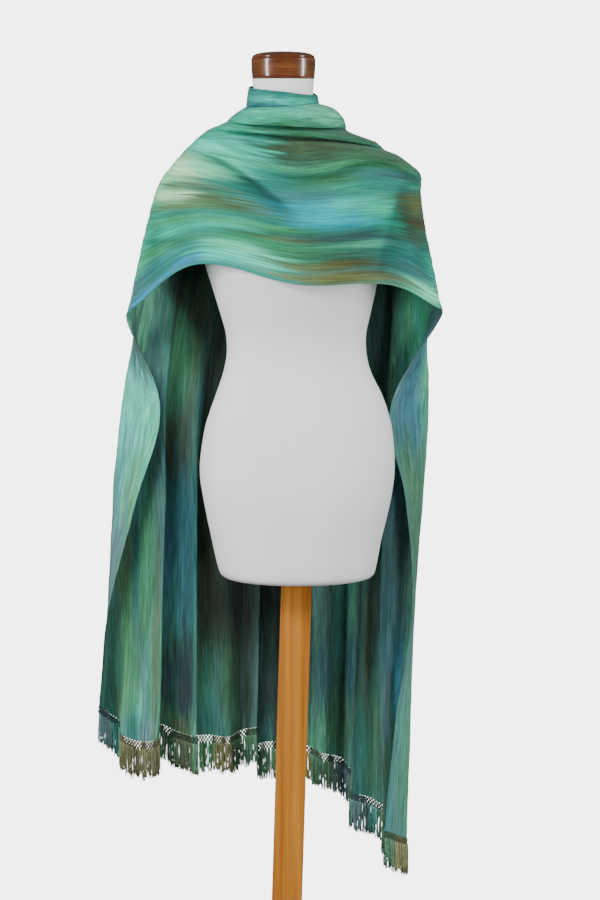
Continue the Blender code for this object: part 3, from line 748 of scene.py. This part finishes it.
def base_dyes(u, v, seed):
    """The space-dyed ground: long runs of one dye that change from thread group to group."""
    random = np.random.RandomState(seed)
    color = np.ones(u.shape + (3,)) * dye_color("teal")
    for _ in range(GROUND_PATCHES):
        place = random.uniform(u.min() - 0.1, u.max() + 0.1)
        line = random.uniform(0.0, SHAWL_WIDTH)
        long = random.uniform(*GROUND_LENGTHS)
        wide = random.uniform(*GROUND_WIDTHS)
        dye = dye_color(GROUND_DYES[random.randint(len(GROUND_DYES))])
        body = soft_ends(np.abs(u - place) / long)
        shape = np.exp(-(np.abs(v - line) / wide) ** 2)
        color += (GROUND_STRENGTH * body * shape)[..., None] * (dye - color)
    return color


def painted_crease_shade(x, z):
    """Painted shade in the chest's troughs: how much darker the colour is made, by their depth."""
    depth = np.zeros(np.shape(x))
    for step in CHEST_CREASES:
        if step[6] < 0:
            depth = depth + step_height(x, z, step)
    return np.exp(PAINTED_TROUGH_SHADE * depth)


def muted(color):
    """A tail's dyes, lifted a little and greyed."""
    lifted = color ** TAIL_LIFT
    grey = lifted.mean(axis=-1, keepdims=True)
    return lifted * (1.0 - TAIL_GREY) + grey * TAIL_GREY


def blend_dyes(color, seam):
    """Let the dyes on both sides of a row run into each other along the threads."""
    before = color[seam - BLEND_ROWS].copy()
    after = color[seam + BLEND_ROWS].copy()
    for step in range(-BLEND_ROWS, BLEND_ROWS + 1):
        share = 0.5 + 0.5 * step / BLEND_ROWS
        weight = 1.0 - abs(step) / BLEND_ROWS
        middle = before * (1.0 - share) + after * share
        color[seam + step] = color[seam + step] * (1.0 - weight) + middle * weight


def form_shade(points):
    """Share of its light that the cloth keeps on the side that faces the form, close behind it."""
    x, y, z = points[..., 0], points[..., 1], points[..., 2]
    left = x < FORM_MIDDLE
    wider = SHADE_WIDER_LEFT * fade(z - SHADE_WIDENS, SHADE_FADE)
    reach = SHADE_REACH + np.where(left, wider, 0.0)
    beside = fade(reach - np.abs(x - FORM_MIDDLE), SHADE_EDGE)
    above = fade(z - np.where(left, SHADE_FOOT_LEFT, SHADE_FOOT_RIGHT), SHADE_FADE)
    behind = fade(y, SHADE_EDGE)
    return 1.0 - FORM_SHADE * beside * above * behind


def new_object(name, data):
    """A new object in the scene."""
    thing = bpy.data.objects.new(name, data)
    bpy.context.scene.collection.objects.link(thing)
    return thing


def paint_mesh(mesh, colors):
    """Store a colour for each vertex of a mesh, as its dye: the dye with any painted light and shade
    laid on it.
    """
    paint = mesh.color_attributes.new("dye", "FLOAT_COLOR", "POINT")
    rgba = np.column_stack((colors, np.ones(len(colors))))
    paint.data.foreach_set("color", rgba.astype(np.float32).ravel())


def shell_mesh(name, points, normals, uv, color):
    """A thin closed shell on both sides of a grid, with smooth normals, a UV map and its dye, with
    painted shade on the side that faces the form.
    """
    rows, columns = points.shape[:2]
    count = rows * columns
    half = 0.5 * CLOTH_THICKNESS
    near = points + normals * half
    far = points - normals * half
    vertices = np.concatenate((near.reshape(-1, 3), far.reshape(-1, 3)))
    index = np.arange(count).reshape(rows, columns)
    corners = (index[:-1, :-1], index[1:, :-1], index[1:, 1:], index[:-1, 1:])
    quads = np.stack(corners, axis=-1).reshape(-1, 4)
    back = quads[:, ::-1] + count
    rim = np.concatenate((index[0], index[1:, -1], index[-1, ::-1][1:], index[::-1, 0][1:]))
    edge = np.stack((rim[:-1], rim[1:], rim[1:] + count, rim[:-1] + count), axis=-1)
    faces = np.concatenate((quads, back, edge))
    mesh = bpy.data.meshes.new(name)
    mesh.from_pydata(vertices.tolist(), [], faces.tolist())
    layer = mesh.uv_layers.new(name="UVMap")
    both = np.concatenate((uv.reshape(-1, 2), uv.reshape(-1, 2)))
    layer.data.foreach_set("uv", both[faces.ravel()].astype(np.float32).ravel())
    # Painted shade on the side that faces the form, close behind it, fading to a dark grey.
    keep = form_shade(points)[..., None]
    shaded = color * keep + SHADE_GREY * (1.0 - keep)
    paint_mesh(mesh, np.concatenate((shaded, color)).reshape(-1, 3))
    mesh.shade_smooth()
    directions = np.concatenate((normals.reshape(-1, 3), -normals.reshape(-1, 3)))
    mesh.normals_split_custom_set_from_vertices(directions.tolist())
    return mesh


def add_piece(name, mesh, material, replaced):
    """Put a mesh in the scene as a piece that stands for the named solids."""
    piece = new_object(name, mesh)
    mesh.materials.append(material)
    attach(piece, "root")
    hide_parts(*replaced)
    return piece


def sheet_columns():
    """Samples across the sheet, closer over the neck's folds than below them."""
    folds = int(ACROSS_COLUMNS * NECK_COLUMNS)
    upper = np.linspace(0.0, NECK_END, folds, endpoint=False)
    return np.concatenate((upper, np.linspace(NECK_END, 1.0, ACROSS_COLUMNS - folds)))


def sheet_relief(u, v, across, tail_rows):
    """Height in metres of the tails' creases, and of an unevenness that spares the collar."""
    lift = np.zeros(u.shape)
    lift[:TAIL_ROWS] = hanging_creases(tail_rows, across, LEFT_TAIL_CREASES)[::-1]
    lift[-TAIL_ROWS:] = hanging_creases(tail_rows, across, RIGHT_TAIL_CREASES)
    lift *= MM
    on_tails = np.ones((len(u), 1))
    on_tails[TAIL_ROWS:-TAIL_ROWS] = 0.0
    rough = np.maximum(fade(across - NECK_END, 0.06)[None, :], on_tails * TAIL_UNEVENNESS)
    for height, size_u, size_v, seed in UNEVENNESS:
        lift += height * rough * soft_noise(u, v, size_u, size_v, seed)
    return lift


def sheet_dyes_and_shade(points, u, v, across, tail_rows, turns):
    """The sheet's colours: the dyed ground, the placed patches, the tails' dyes lifted for their
    weaker light and greyed, and painted shade in the chest's troughs.
    """
    color = base_dyes(u, v, GROUND_SEED)
    threads = sum(0.5 * soft_noise(u, v, *group) for group in THREAD_GROUPS)
    left = slice(0, TAIL_ROWS)
    front = slice(TAIL_ROWS, len(u) - TAIL_ROWS)
    right = slice(len(u) - TAIL_ROWS, len(u))
    for part, along, patches, ragged in (
            (left, tail_rows[::-1], LEFT_TAIL_DYES, RAGGED_TAIL),
            (right, tail_rows, RIGHT_TAIL_DYES, RAGGED_TAIL),
            (front, turns, FRONT_DYES, RAGGED_FRONT)):
        paint_patches(color[part], along, across, patches, threads[part] * ragged)
    for part in (left, right):
        color[part] = muted(color[part])
    for seam in (left.stop, right.start):
        blend_dyes(color, seam)
    # Painted shade darkens the colour in the chest's troughs.
    chest = (points[front] - np.array((0.0, 0.0, TABLE_LEVEL))) / MM
    color[front] *= painted_crease_shade(chest[..., 0], chest[..., 2])[..., None]
    return color


def build_sheet():
    """The whole shawl as one grid: points and normals in metres, flat places, and dyes with painted
    light and shade in them.
    """
    across = sheet_columns()
    tail_rows = np.linspace(0.0, 1.0, TAIL_ROWS)
    turns = np.linspace(-1.0, 1.0, FRONT_ROWS)
    left = tail_points(LEFT_TAIL_FOLDS, -1.0, tail_rows, across)
    right = tail_points(RIGHT_TAIL_FOLDS, 1.0, tail_rows, across)
    front = front_points(turns, across)
    points = metres(np.concatenate((left[::-1], front[1:-1], right)))
    steps = np.linalg.norm(np.diff(points, axis=0), axis=2).mean(axis=1)
    u = np.concatenate(([0.0], np.cumsum(steps)))
    u = np.repeat(u[:, None], len(across), axis=1)
    v = np.repeat((across * SHAWL_WIDTH)[None, :], len(u), axis=0)
    points = points + grid_normals(points) * sheet_relief(u, v, across, tail_rows)[..., None]
    color = sheet_dyes_and_shade(points, u, v, across, tail_rows, turns[1:-1])
    return points, grid_normals(points), np.stack((u, v), axis=-1), color, across


def ring_points(path, radii, sides):
    """Rings of vertices round the places of a path."""
    turns = [2 * math.pi * k / sides for k in range(sides)]
    return [(x + radius * math.cos(turn), y + radius * math.sin(turn), z)
            for (x, y, z), radius in zip(path, radii) for turn in turns]


def ring_faces(first, rings, sides):
    """Quads that join rings of vertices, each ring above the one before it."""
    faces = []
    for low in range(first, first + (rings - 1) * sides, sides):
        for k in range(sides):
            n = (k + 1) % sides
            faces.append((low + k, low + n, low + sides + n, low + sides + k))
    return faces


class MeshParts:
    """Gathers vertices, faces and colours of many small pieces for one mesh."""

    def __init__(self):
        self.vertices = []
        self.faces = []
        self.colors = []

    def tube(self, path, radii, sides, color):
        """A closed tube along a path that mostly runs downwards."""
        first = len(self.vertices)
        last = first + (len(path) - 1) * sides
        self.vertices += ring_points(path, radii, sides)
        self.colors += [color] * (len(path) * sides)
        for a, b, c, d in ring_faces(first, len(path), sides):
            self.faces.append((a, d, c, b))
        self.faces.append(tuple(range(first, first + sides)))
        self.faces.append(tuple(range(last + sides - 1, last - 1, -1)))

    def knot(self, place, color):
        """A small round knot."""
        x, y, z = place
        path = [(x, y, z + KNOT_RADIUS * up) for _, up in KNOT_RINGS]
        self.tube(path, [KNOT_RADIUS * wide for wide, _ in KNOT_RINGS], 6, color)

    def mesh(self, name):
        """The gathered pieces as one smooth-shaded mesh."""
        mesh = bpy.data.meshes.new(name)
        mesh.from_pydata(self.vertices, [], self.faces)
        paint_mesh(mesh, np.array(self.colors))
        mesh.shade_smooth()
        return mesh


def fringe_dye(across, dyes):
    """The dye of the fringe at a place across the sheet, muted as in the tails."""
    name = [name for start, name in dyes if across >= start][-1]
    return muted(dye_color(name))


def net_place(place, row):
    """The place in the net that lies some rows below a place on the hem."""
    return place - (0, 0, NET_TOP_DROP + NET_ROW_DROP * row)


def add_fringe(side, hem, across, dyes, seed, material):
    """A knotted net under a hem with a tassel of loose threads below each knot."""
    random = np.random.RandomState(seed)
    runs = np.linalg.norm(np.diff(hem, axis=0), axis=1)
    length = np.concatenate(([0.0], np.cumsum(runs)))
    last = 2 * int(length[-1] / TASSEL_PITCH)
    marks = np.linspace(0.0, length[-1], last + 1)
    places = np.column_stack([np.interp(marks, length, hem[:, k]) for k in range(3)])
    spots = np.interp(marks, length, across)
    parts = MeshParts()
    for i in range(last + 1):
        color = fringe_dye(spots[i], dyes) * NET_SHADE
        for row in range(NET_ROWS):
            if i % 2 != row % 2:
                parts.knot(net_place(places[i], row + 1), color * random.uniform(0.7, 1.2))
                continue
            top = net_place(places[i], row)
            for other in (i - 1, i + 1):
                if 0 <= other <= last:
                    low = net_place(places[other], row + 1)
                    path = [top, 0.5 * (top + low), low]
                    parts.tube(path, [CORD_RADIUS] * 3, 4, color * random.uniform(0.8, 1.3))
    for i in range(NET_ROWS % 2, last + 1, 2):
        color = fringe_dye(spots[i], dyes) * TASSEL_SHADE
        add_tassel(parts, net_place(places[i], NET_ROWS), color, random)
    mesh = parts.mesh("fringe_net_" + side)
    return add_piece(mesh.name, mesh, material, ["fringe_" + side])


def add_tassel(parts, knot, color, random):
    """A bundle of threads that hangs from a knot and loosens towards its end."""
    bundle = TASSEL_LENGTH * random.uniform(0.90, 1.06)
    lean_x = random.uniform(-1, 1) * TASSEL_LEAN
    lean_y = random.uniform(-1, 1) * TASSEL_LEAN
    twist = random.uniform(0, 7)
    for t in range(TASSEL_THREADS):
        turn = 2 * math.pi * t / TASSEL_THREADS + random.uniform(-0.4, 0.4)
        length = bundle * random.uniform(0.90, 1.03)
        wave = random.uniform(0, 7)
        bend = random.uniform(0.0003, 0.0010)
        path = []
        radii = []
        for step in range(THREAD_POINTS):
            share = step / (THREAD_POINTS - 1)
            wide = TASSEL_SPREAD * (0.62 + 0.38 * share ** 0.6)
            spin = turn + twist * 0.25 * share
            sway = bend * math.sin(wave + share * 9.0) * share
            path.append((
                knot[0] + wide * math.cos(spin) + lean_x * share + sway,
                knot[1] + wide * math.sin(spin) + lean_y * share + sway,
                knot[2] - length * share))
            radii.append(THREAD_RADIUS * (1.0 - 0.25 * share))
        parts.tube(path, radii, 3, color * random.uniform(0.65, 1.45))


def add_form(material):
    """The dress form's jersey-covered body: smooth ovals through the section table."""
    table = np.array(FORM_SECTIONS, float)
    gaps = np.linalg.norm(np.diff(table[:, :4], axis=0), axis=1)
    knots = np.concatenate(([0.0], np.cumsum(gaps)))
    rows = smooth_read(table, knots, np.linspace(0.0, knots[-1], FORM_ROWS))
    turns = 2 * math.pi * np.arange(FORM_AROUND) / FORM_AROUND
    rings = []
    for height, half, front, back, middle in rows:
        reach = np.where(np.sin(turns) > 0, back, -front)
        x = middle + half * np.cos(turns) * FORM_SHARE
        y = reach * np.sin(turns) * FORM_SHARE
        rings.append(np.column_stack((x, y, np.full(FORM_AROUND, height))))
    faces = ring_faces(0, FORM_ROWS, FORM_AROUND)
    last = (FORM_ROWS - 1) * FORM_AROUND
    faces.append(tuple(range(FORM_AROUND - 1, -1, -1)))
    faces.append(tuple(range(last, last + FORM_AROUND)))
    mesh = bpy.data.meshes.new("jersey_body")
    mesh.from_pydata(metres(np.concatenate(rings)).tolist(), [], faces)
    mesh.shade_smooth()
    mesh.set_sharp_from_angle(angle=math.radians(60))
    add_piece("jersey_body", mesh, material, ["form_torso"])


def add_cap(material):
    """The turned and varnished neck cap."""
    mesh = bpy.data.meshes.new("turned_cap")
    vertices = [(radius, 0.0, height) for radius, height in CAP_PROFILE]
    edges = [(i, i + 1) for i in range(len(vertices) - 1)]
    mesh.from_pydata(vertices, edges, [])
    piece = add_piece("turned_cap", mesh, material, ["neck_cap"])
    piece.location = CAP_PLACE
    screw = piece.modifiers.new("Turned", "SCREW")
    screw.steps = CAP_AROUND
    screw.render_steps = CAP_AROUND
    screw.use_merge_vertices = True
    screw.merge_threshold = 0.0001
    screw.use_smooth_shade = True


class Nodes:
    """Short calls for laying out a material's nodes."""

    def __init__(self, name):
        self.material = bpy.data.materials.new(name)
        self.material.use_nodes = True
        self.tree = self.material.node_tree
        self.shader = self.tree.nodes["Principled BSDF"]

    def add(self, kind, **values):
        """A new node with the given settings."""
        node = self.tree.nodes.new(kind)
        for key, value in values.items():
            setattr(node, key, value)
        return node

    def fill(self, node, values):
        """Link an output to each named input, or set the input to a constant."""
        for key, value in values:
            if isinstance(value, bpy.types.NodeSocket):
                self.tree.links.new(value, node.inputs[key])
            else:
                node.inputs[key].default_value = value

    def set(self, **values):
        """Fill inputs of the surface, with underscores for the spaces in their names."""
        self.fill(self.shader, [(key.replace("_", " "), value) for key, value in values.items()])

    def places(self, kind):
        """Texture coordinates."""
        return self.add("ShaderNodeTexCoord").outputs[kind]

    def dye(self):
        """The colour stored in the mesh: its dye with any painted light and shade laid on it."""
        return self.add("ShaderNodeAttribute", attribute_name="dye").outputs["Color"]

    def math(self, operation, *values):
        """The result of one operation."""
        node = self.add("ShaderNodeMath", operation=operation)
        self.fill(node, enumerate(values))
        return node.outputs[0]

    def weighted(self, first, first_share, second, second_share):
        """The sum of two values in the given shares."""
        return self.math("ADD", self.math("MULTIPLY", first, first_share),
                         self.math("MULTIPLY", second, second_share))

    def noise(self, places, turns, detail, roughness, distortion=0.0):
        """Noise with so many turns per metre along each axis."""
        mapping = self.add("ShaderNodeMapping")
        self.fill(mapping, (("Vector", places), ("Scale", turns)))
        node = self.add("ShaderNodeTexNoise")
        self.fill(node, (("Vector", mapping.outputs["Vector"]), ("Scale", 1.0), ("Detail", detail),
                         ("Roughness", roughness), ("Distortion", distortion)))
        return node.outputs["Fac"]

    def spread(self, source, low, high, to_low, to_high):
        """A value moved from one range to another."""
        node = self.add("ShaderNodeMapRange")
        self.fill(node, (("Value", source), ("From Min", low), ("From Max", high),
                         ("To Min", to_low), ("To Max", to_high)))
        return node.outputs["Result"]

    def shade(self, color, value):
        """A colour multiplied by a value."""
        grey = self.add("ShaderNodeCombineColor")
        self.fill(grey, enumerate((value, value, value)))
        node = self.add("ShaderNodeMix", data_type="RGBA", blend_type="MULTIPLY")
        self.fill(node, ((0, 1.0), (6, color), (7, grey.outputs[0])))
        return node.outputs[2]

    def ramp(self, source, *stops):
        """A colour from a row of places and colours."""
        node = self.add("ShaderNodeValToRGB")
        elements = node.color_ramp.elements
        while len(elements) < len(stops):
            elements.new(0.5)
        for element, (place, color) in zip(elements, stops):
            element.position = place
            element.color = (*color, 1.0)
        self.fill(node, (("Fac", source),))
        return node.outputs["Color"]

    def bump(self, height, strength, distance):
        """Raise the surface by a pattern."""
        node = self.add("ShaderNodeBump")
        self.fill(node, (("Height", height), ("Strength", strength), ("Distance", distance)))
        self.set(Normal=node.outputs["Normal"])


def woven_material():
    """Hand-woven cloth: dyed threads run along it and fine ribs cross them."""
    nodes = Nodes("Woven shawl")
    flat = nodes.places("UV")
    split = nodes.add("ShaderNodeSeparateXYZ")
    nodes.fill(split, ((0, flat),))
    u, v = split.outputs[0], split.outputs[1]

    yarn = nodes.noise(flat, (22.0, 520.0, 1.0), 3.0, 0.6)
    streak = nodes.noise(flat, (11.0, 130.0, 1.0), 3.0, 0.6)
    cloud = nodes.noise(flat, (9.0, 24.0, 1.0), 2.0, 0.5)
    slub = nodes.noise(flat, (16.0, 260.0, 1.0), 2.0, 0.6)
    fine = nodes.math("MULTIPLY", nodes.spread(yarn, 0.25, 0.75, 0.66, 1.34),
                      nodes.spread(slub, 0.30, 0.70, 0.78, 1.24))
    value = nodes.math("MULTIPLY", fine, nodes.spread(streak, 0.25, 0.75, 0.74, 1.26))
    hue = nodes.add("ShaderNodeHueSaturation")
    nodes.fill(hue, (("Hue", nodes.spread(cloud, 0.3, 0.7, 0.485, 0.515)), ("Value", value),
                     ("Color", nodes.dye())))

    wander = nodes.noise(flat, (40.0, 18.0, 1.0), 2.0, 0.5)
    shift = nodes.math("MULTIPLY", wander, 2.4)
    twill = nodes.weighted(u, RIB_TURNS, v, RIB_SLANT)
    ribs = nodes.math("SINE", nodes.math("ADD", twill, shift))
    grain = nodes.math("SINE", nodes.math("MULTIPLY", v, THREAD_TURNS))
    drift = nodes.noise(flat, (14.0, 20.0, 1.0), 2.0, 0.5)
    ribbed = nodes.math("MULTIPLY", ribs, nodes.spread(drift, 0.35, 0.65, 0.55, 1.0))
    weave = nodes.weighted(ribbed, 0.6, grain, 0.25)
    # Painted shade along the ribs: the colour is darker in their hollows and lighter on their crests,
    # beside the bump.
    shaded = nodes.shade(hue.outputs["Color"], nodes.spread(ribbed, -1.0, 1.0, 0.80, 1.16))
    nodes.bump(nodes.math("ADD", weave, nodes.math("MULTIPLY", yarn, 0.8)), 0.55, 0.0006)
    nodes.set(Base_Color=shaded, Roughness=0.85, Sheen_Weight=0.08, Sheen_Roughness=0.45,
              Specular_IOR_Level=0.12)
    return nodes.material


def thread_material():
    """The fringe's threads, in the dyes of the cloth above them."""
    nodes = Nodes("Fringe threads")
    speck = nodes.noise(nodes.places("Object"), (900.0, 900.0, 160.0), 2.0, 0.6)
    shaded = nodes.shade(nodes.dye(), nodes.spread(speck, 0.3, 0.7, 0.65, 1.35))
    nodes.bump(speck, 0.5, 0.0005)
    nodes.set(Base_Color=shaded, Roughness=0.78, Sheen_Weight=0.2, Sheen_Roughness=0.5,
              Specular_IOR_Level=0.25)
    return nodes.material


def jersey_material():
    """White stretch jersey with a very fine knit."""
    nodes = Nodes("White knit jersey")
    place = nodes.places("Object")
    cloud = nodes.noise(place, (9.0, 9.0, 9.0), 3.0, 0.5)
    knit = nodes.noise(place, (900.0, 900.0, 1300.0), 1.0, 0.5)
    tone = nodes.ramp(cloud, (0.3, (0.86, 0.86, 0.88)), (0.7, (0.91, 0.91, 0.93)))
    nodes.bump(knit, 0.25, 0.0004)
    nodes.set(Base_Color=tone, Roughness=0.85, Sheen_Weight=0.15, Sheen_Roughness=0.5,
              Specular_IOR_Level=0.2)
    return nodes.material


def varnish_material():
    """Dark turned wood with level grain lines under a glossy varnish."""
    nodes = Nodes("Glossy varnished wood")
    place = nodes.places("Object")
    rings = nodes.noise(place, (9.0, 9.0, 260.0), 4.0, 0.6, 0.4)
    cloud = nodes.noise(place, (16.0, 16.0, 30.0), 2.0, 0.5)
    tone = nodes.ramp(nodes.weighted(rings, 0.7, cloud, 0.3), (0.32, (0.030, 0.008, 0.003)),
                      (0.48, (0.105, 0.030, 0.008)), (0.66, (0.200, 0.070, 0.018)))
    nodes.set(Base_Color=tone, Roughness=0.30, Coat_Weight=1.0, Coat_Roughness=0.06)
    return nodes.material


def timber_material():
    """Golden timber with upright grain."""
    nodes = Nodes("Golden pine")
    place = nodes.places("Object")
    wide = nodes.noise(place, (60.0, 60.0, 1.6), 3.0, 0.5, 0.6)
    fine = nodes.noise(place, (420.0, 420.0, 9.0), 3.0, 0.6)
    grain = nodes.weighted(wide, 0.75, fine, 0.25)
    tone = nodes.ramp(grain, (0.34, (0.250, 0.078, 0.008)), (0.50, (0.400, 0.145, 0.016)),
                      (0.66, (0.520, 0.215, 0.030)))
    nodes.bump(grain, 0.2, 0.0006)
    nodes.set(Base_Color=tone, Roughness=0.5, Coat_Weight=0.15, Coat_Roughness=0.3)
    return nodes.material


def studio_material():
    """The plain white studio."""
    nodes = Nodes("White studio")
    nodes.set(Base_Color=(0.0, 0.0, 0.0, 1.0), Roughness=1.0, Specular_IOR_Level=0.0)
    nodes.set(Emission_Color=(1.0, 1.0, 1.0, 1.0), Emission_Strength=5.0)
    return nodes.material


def add_studio():
    """A round white studio: a level floor that curves up into a plain wall."""
    profile = [(2.0, 0.0), (4.0, 0.0), (STUDIO_RADIUS, 0.0)]
    for k in range(1, 13):
        turn = 0.5 * math.pi * k / 12
        profile.append((STUDIO_RADIUS + STUDIO_CURVE * math.sin(turn),
                        STUDIO_CURVE * (1 - math.cos(turn))))
    profile.append((STUDIO_RADIUS + STUDIO_CURVE, STUDIO_TOP))
    path = [(0.0, 0.0, height) for _, height in profile]
    vertices = ring_points(path, [reach for reach, _ in profile], STUDIO_AROUND)
    faces = ring_faces(0, len(profile), STUDIO_AROUND)
    faces.append(tuple(range(STUDIO_AROUND)))
    mesh = bpy.data.meshes.new("studio")
    mesh.from_pydata(vertices, [], faces)
    mesh.shade_smooth()
    mesh.materials.append(studio_material())
    studio = new_object("studio", mesh)
    studio.visible_diffuse = False
    studio.visible_glossy = False
    studio.visible_shadow = False


def add_lamps():
    """Soft rectangular lamps that face the form, and a weak even surround."""
    for name, place, aim, width, height, power, mirrored in LAMPS:
        data = bpy.data.lights.new(name, "AREA")
        data.shape = "RECTANGLE"
        data.size = width
        data.size_y = height
        data.energy = power
        lamp = new_object(name, data)
        lamp.location = place
        lamp.visible_glossy = mirrored
        direction = Vector((0.0, 0.0, aim)) - Vector(place)
        lamp.rotation_euler = direction.to_track_quat("-Z", "Y").to_euler()
    world = bpy.data.worlds.new("Studio surround")
    world.use_nodes = True
    surround = world.node_tree.nodes["Background"]
    surround.inputs["Color"].default_value = (1.0, 0.97, 0.94, 1.0)
    surround.inputs["Strength"].default_value = 0.12
    bpy.context.scene.world = world


def add_camera():
    """The camera at the photograph's viewing angle."""
    data = bpy.data.cameras.new("camera")
    data.lens = LENS
    data.sensor_fit = "VERTICAL"
    data.sensor_height = SENSOR
    camera = new_object("camera", data)
    camera.location = CAMERA_PLACE
    camera.rotation_euler = (math.radians(90.0 - CAMERA_PITCH), 0.0, 0.0)
    bpy.context.scene.camera = camera


def main():
    """Dress the solids: the shawl, its fringes, the form's cover, the cap and the timber."""
    add_camera()
    add_studio()
    add_lamps()
    cloth = woven_material()
    thread = thread_material()
    points, normals, uv, color, across = build_sheet()
    stretches = (
        ("shawl_left", 0, TAIL_ROWS, ["shawl_left_tail"]),
        ("shawl_chest", TAIL_ROWS - 1, TAIL_ROWS + FRONT_ROWS - 1, ["shawl_collar", "shawl_front"]),
        ("shawl_right", TAIL_ROWS + FRONT_ROWS - 2, len(points), ["shawl_right_tail"]),
    )
    for name, first, last, nodes in stretches:
        cut = slice(first, last)
        mesh = shell_mesh(name, points[cut], normals[cut], uv[cut], color[cut])
        piece = add_piece(name, mesh, cloth, nodes)
    left = add_fringe("left", points[0], across, LEFT_FRINGE_DYES, 4, thread)
    right = add_fringe("right", points[-1], across, RIGHT_FRINGE_DYES, 5, thread)
    add_form(jersey_material())
    add_cap(varnish_material())
    timber = timber_material()
    for name in ("stand_post", "stand_base"):
        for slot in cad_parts[name].material_slots:
            slot.material = timber


main()
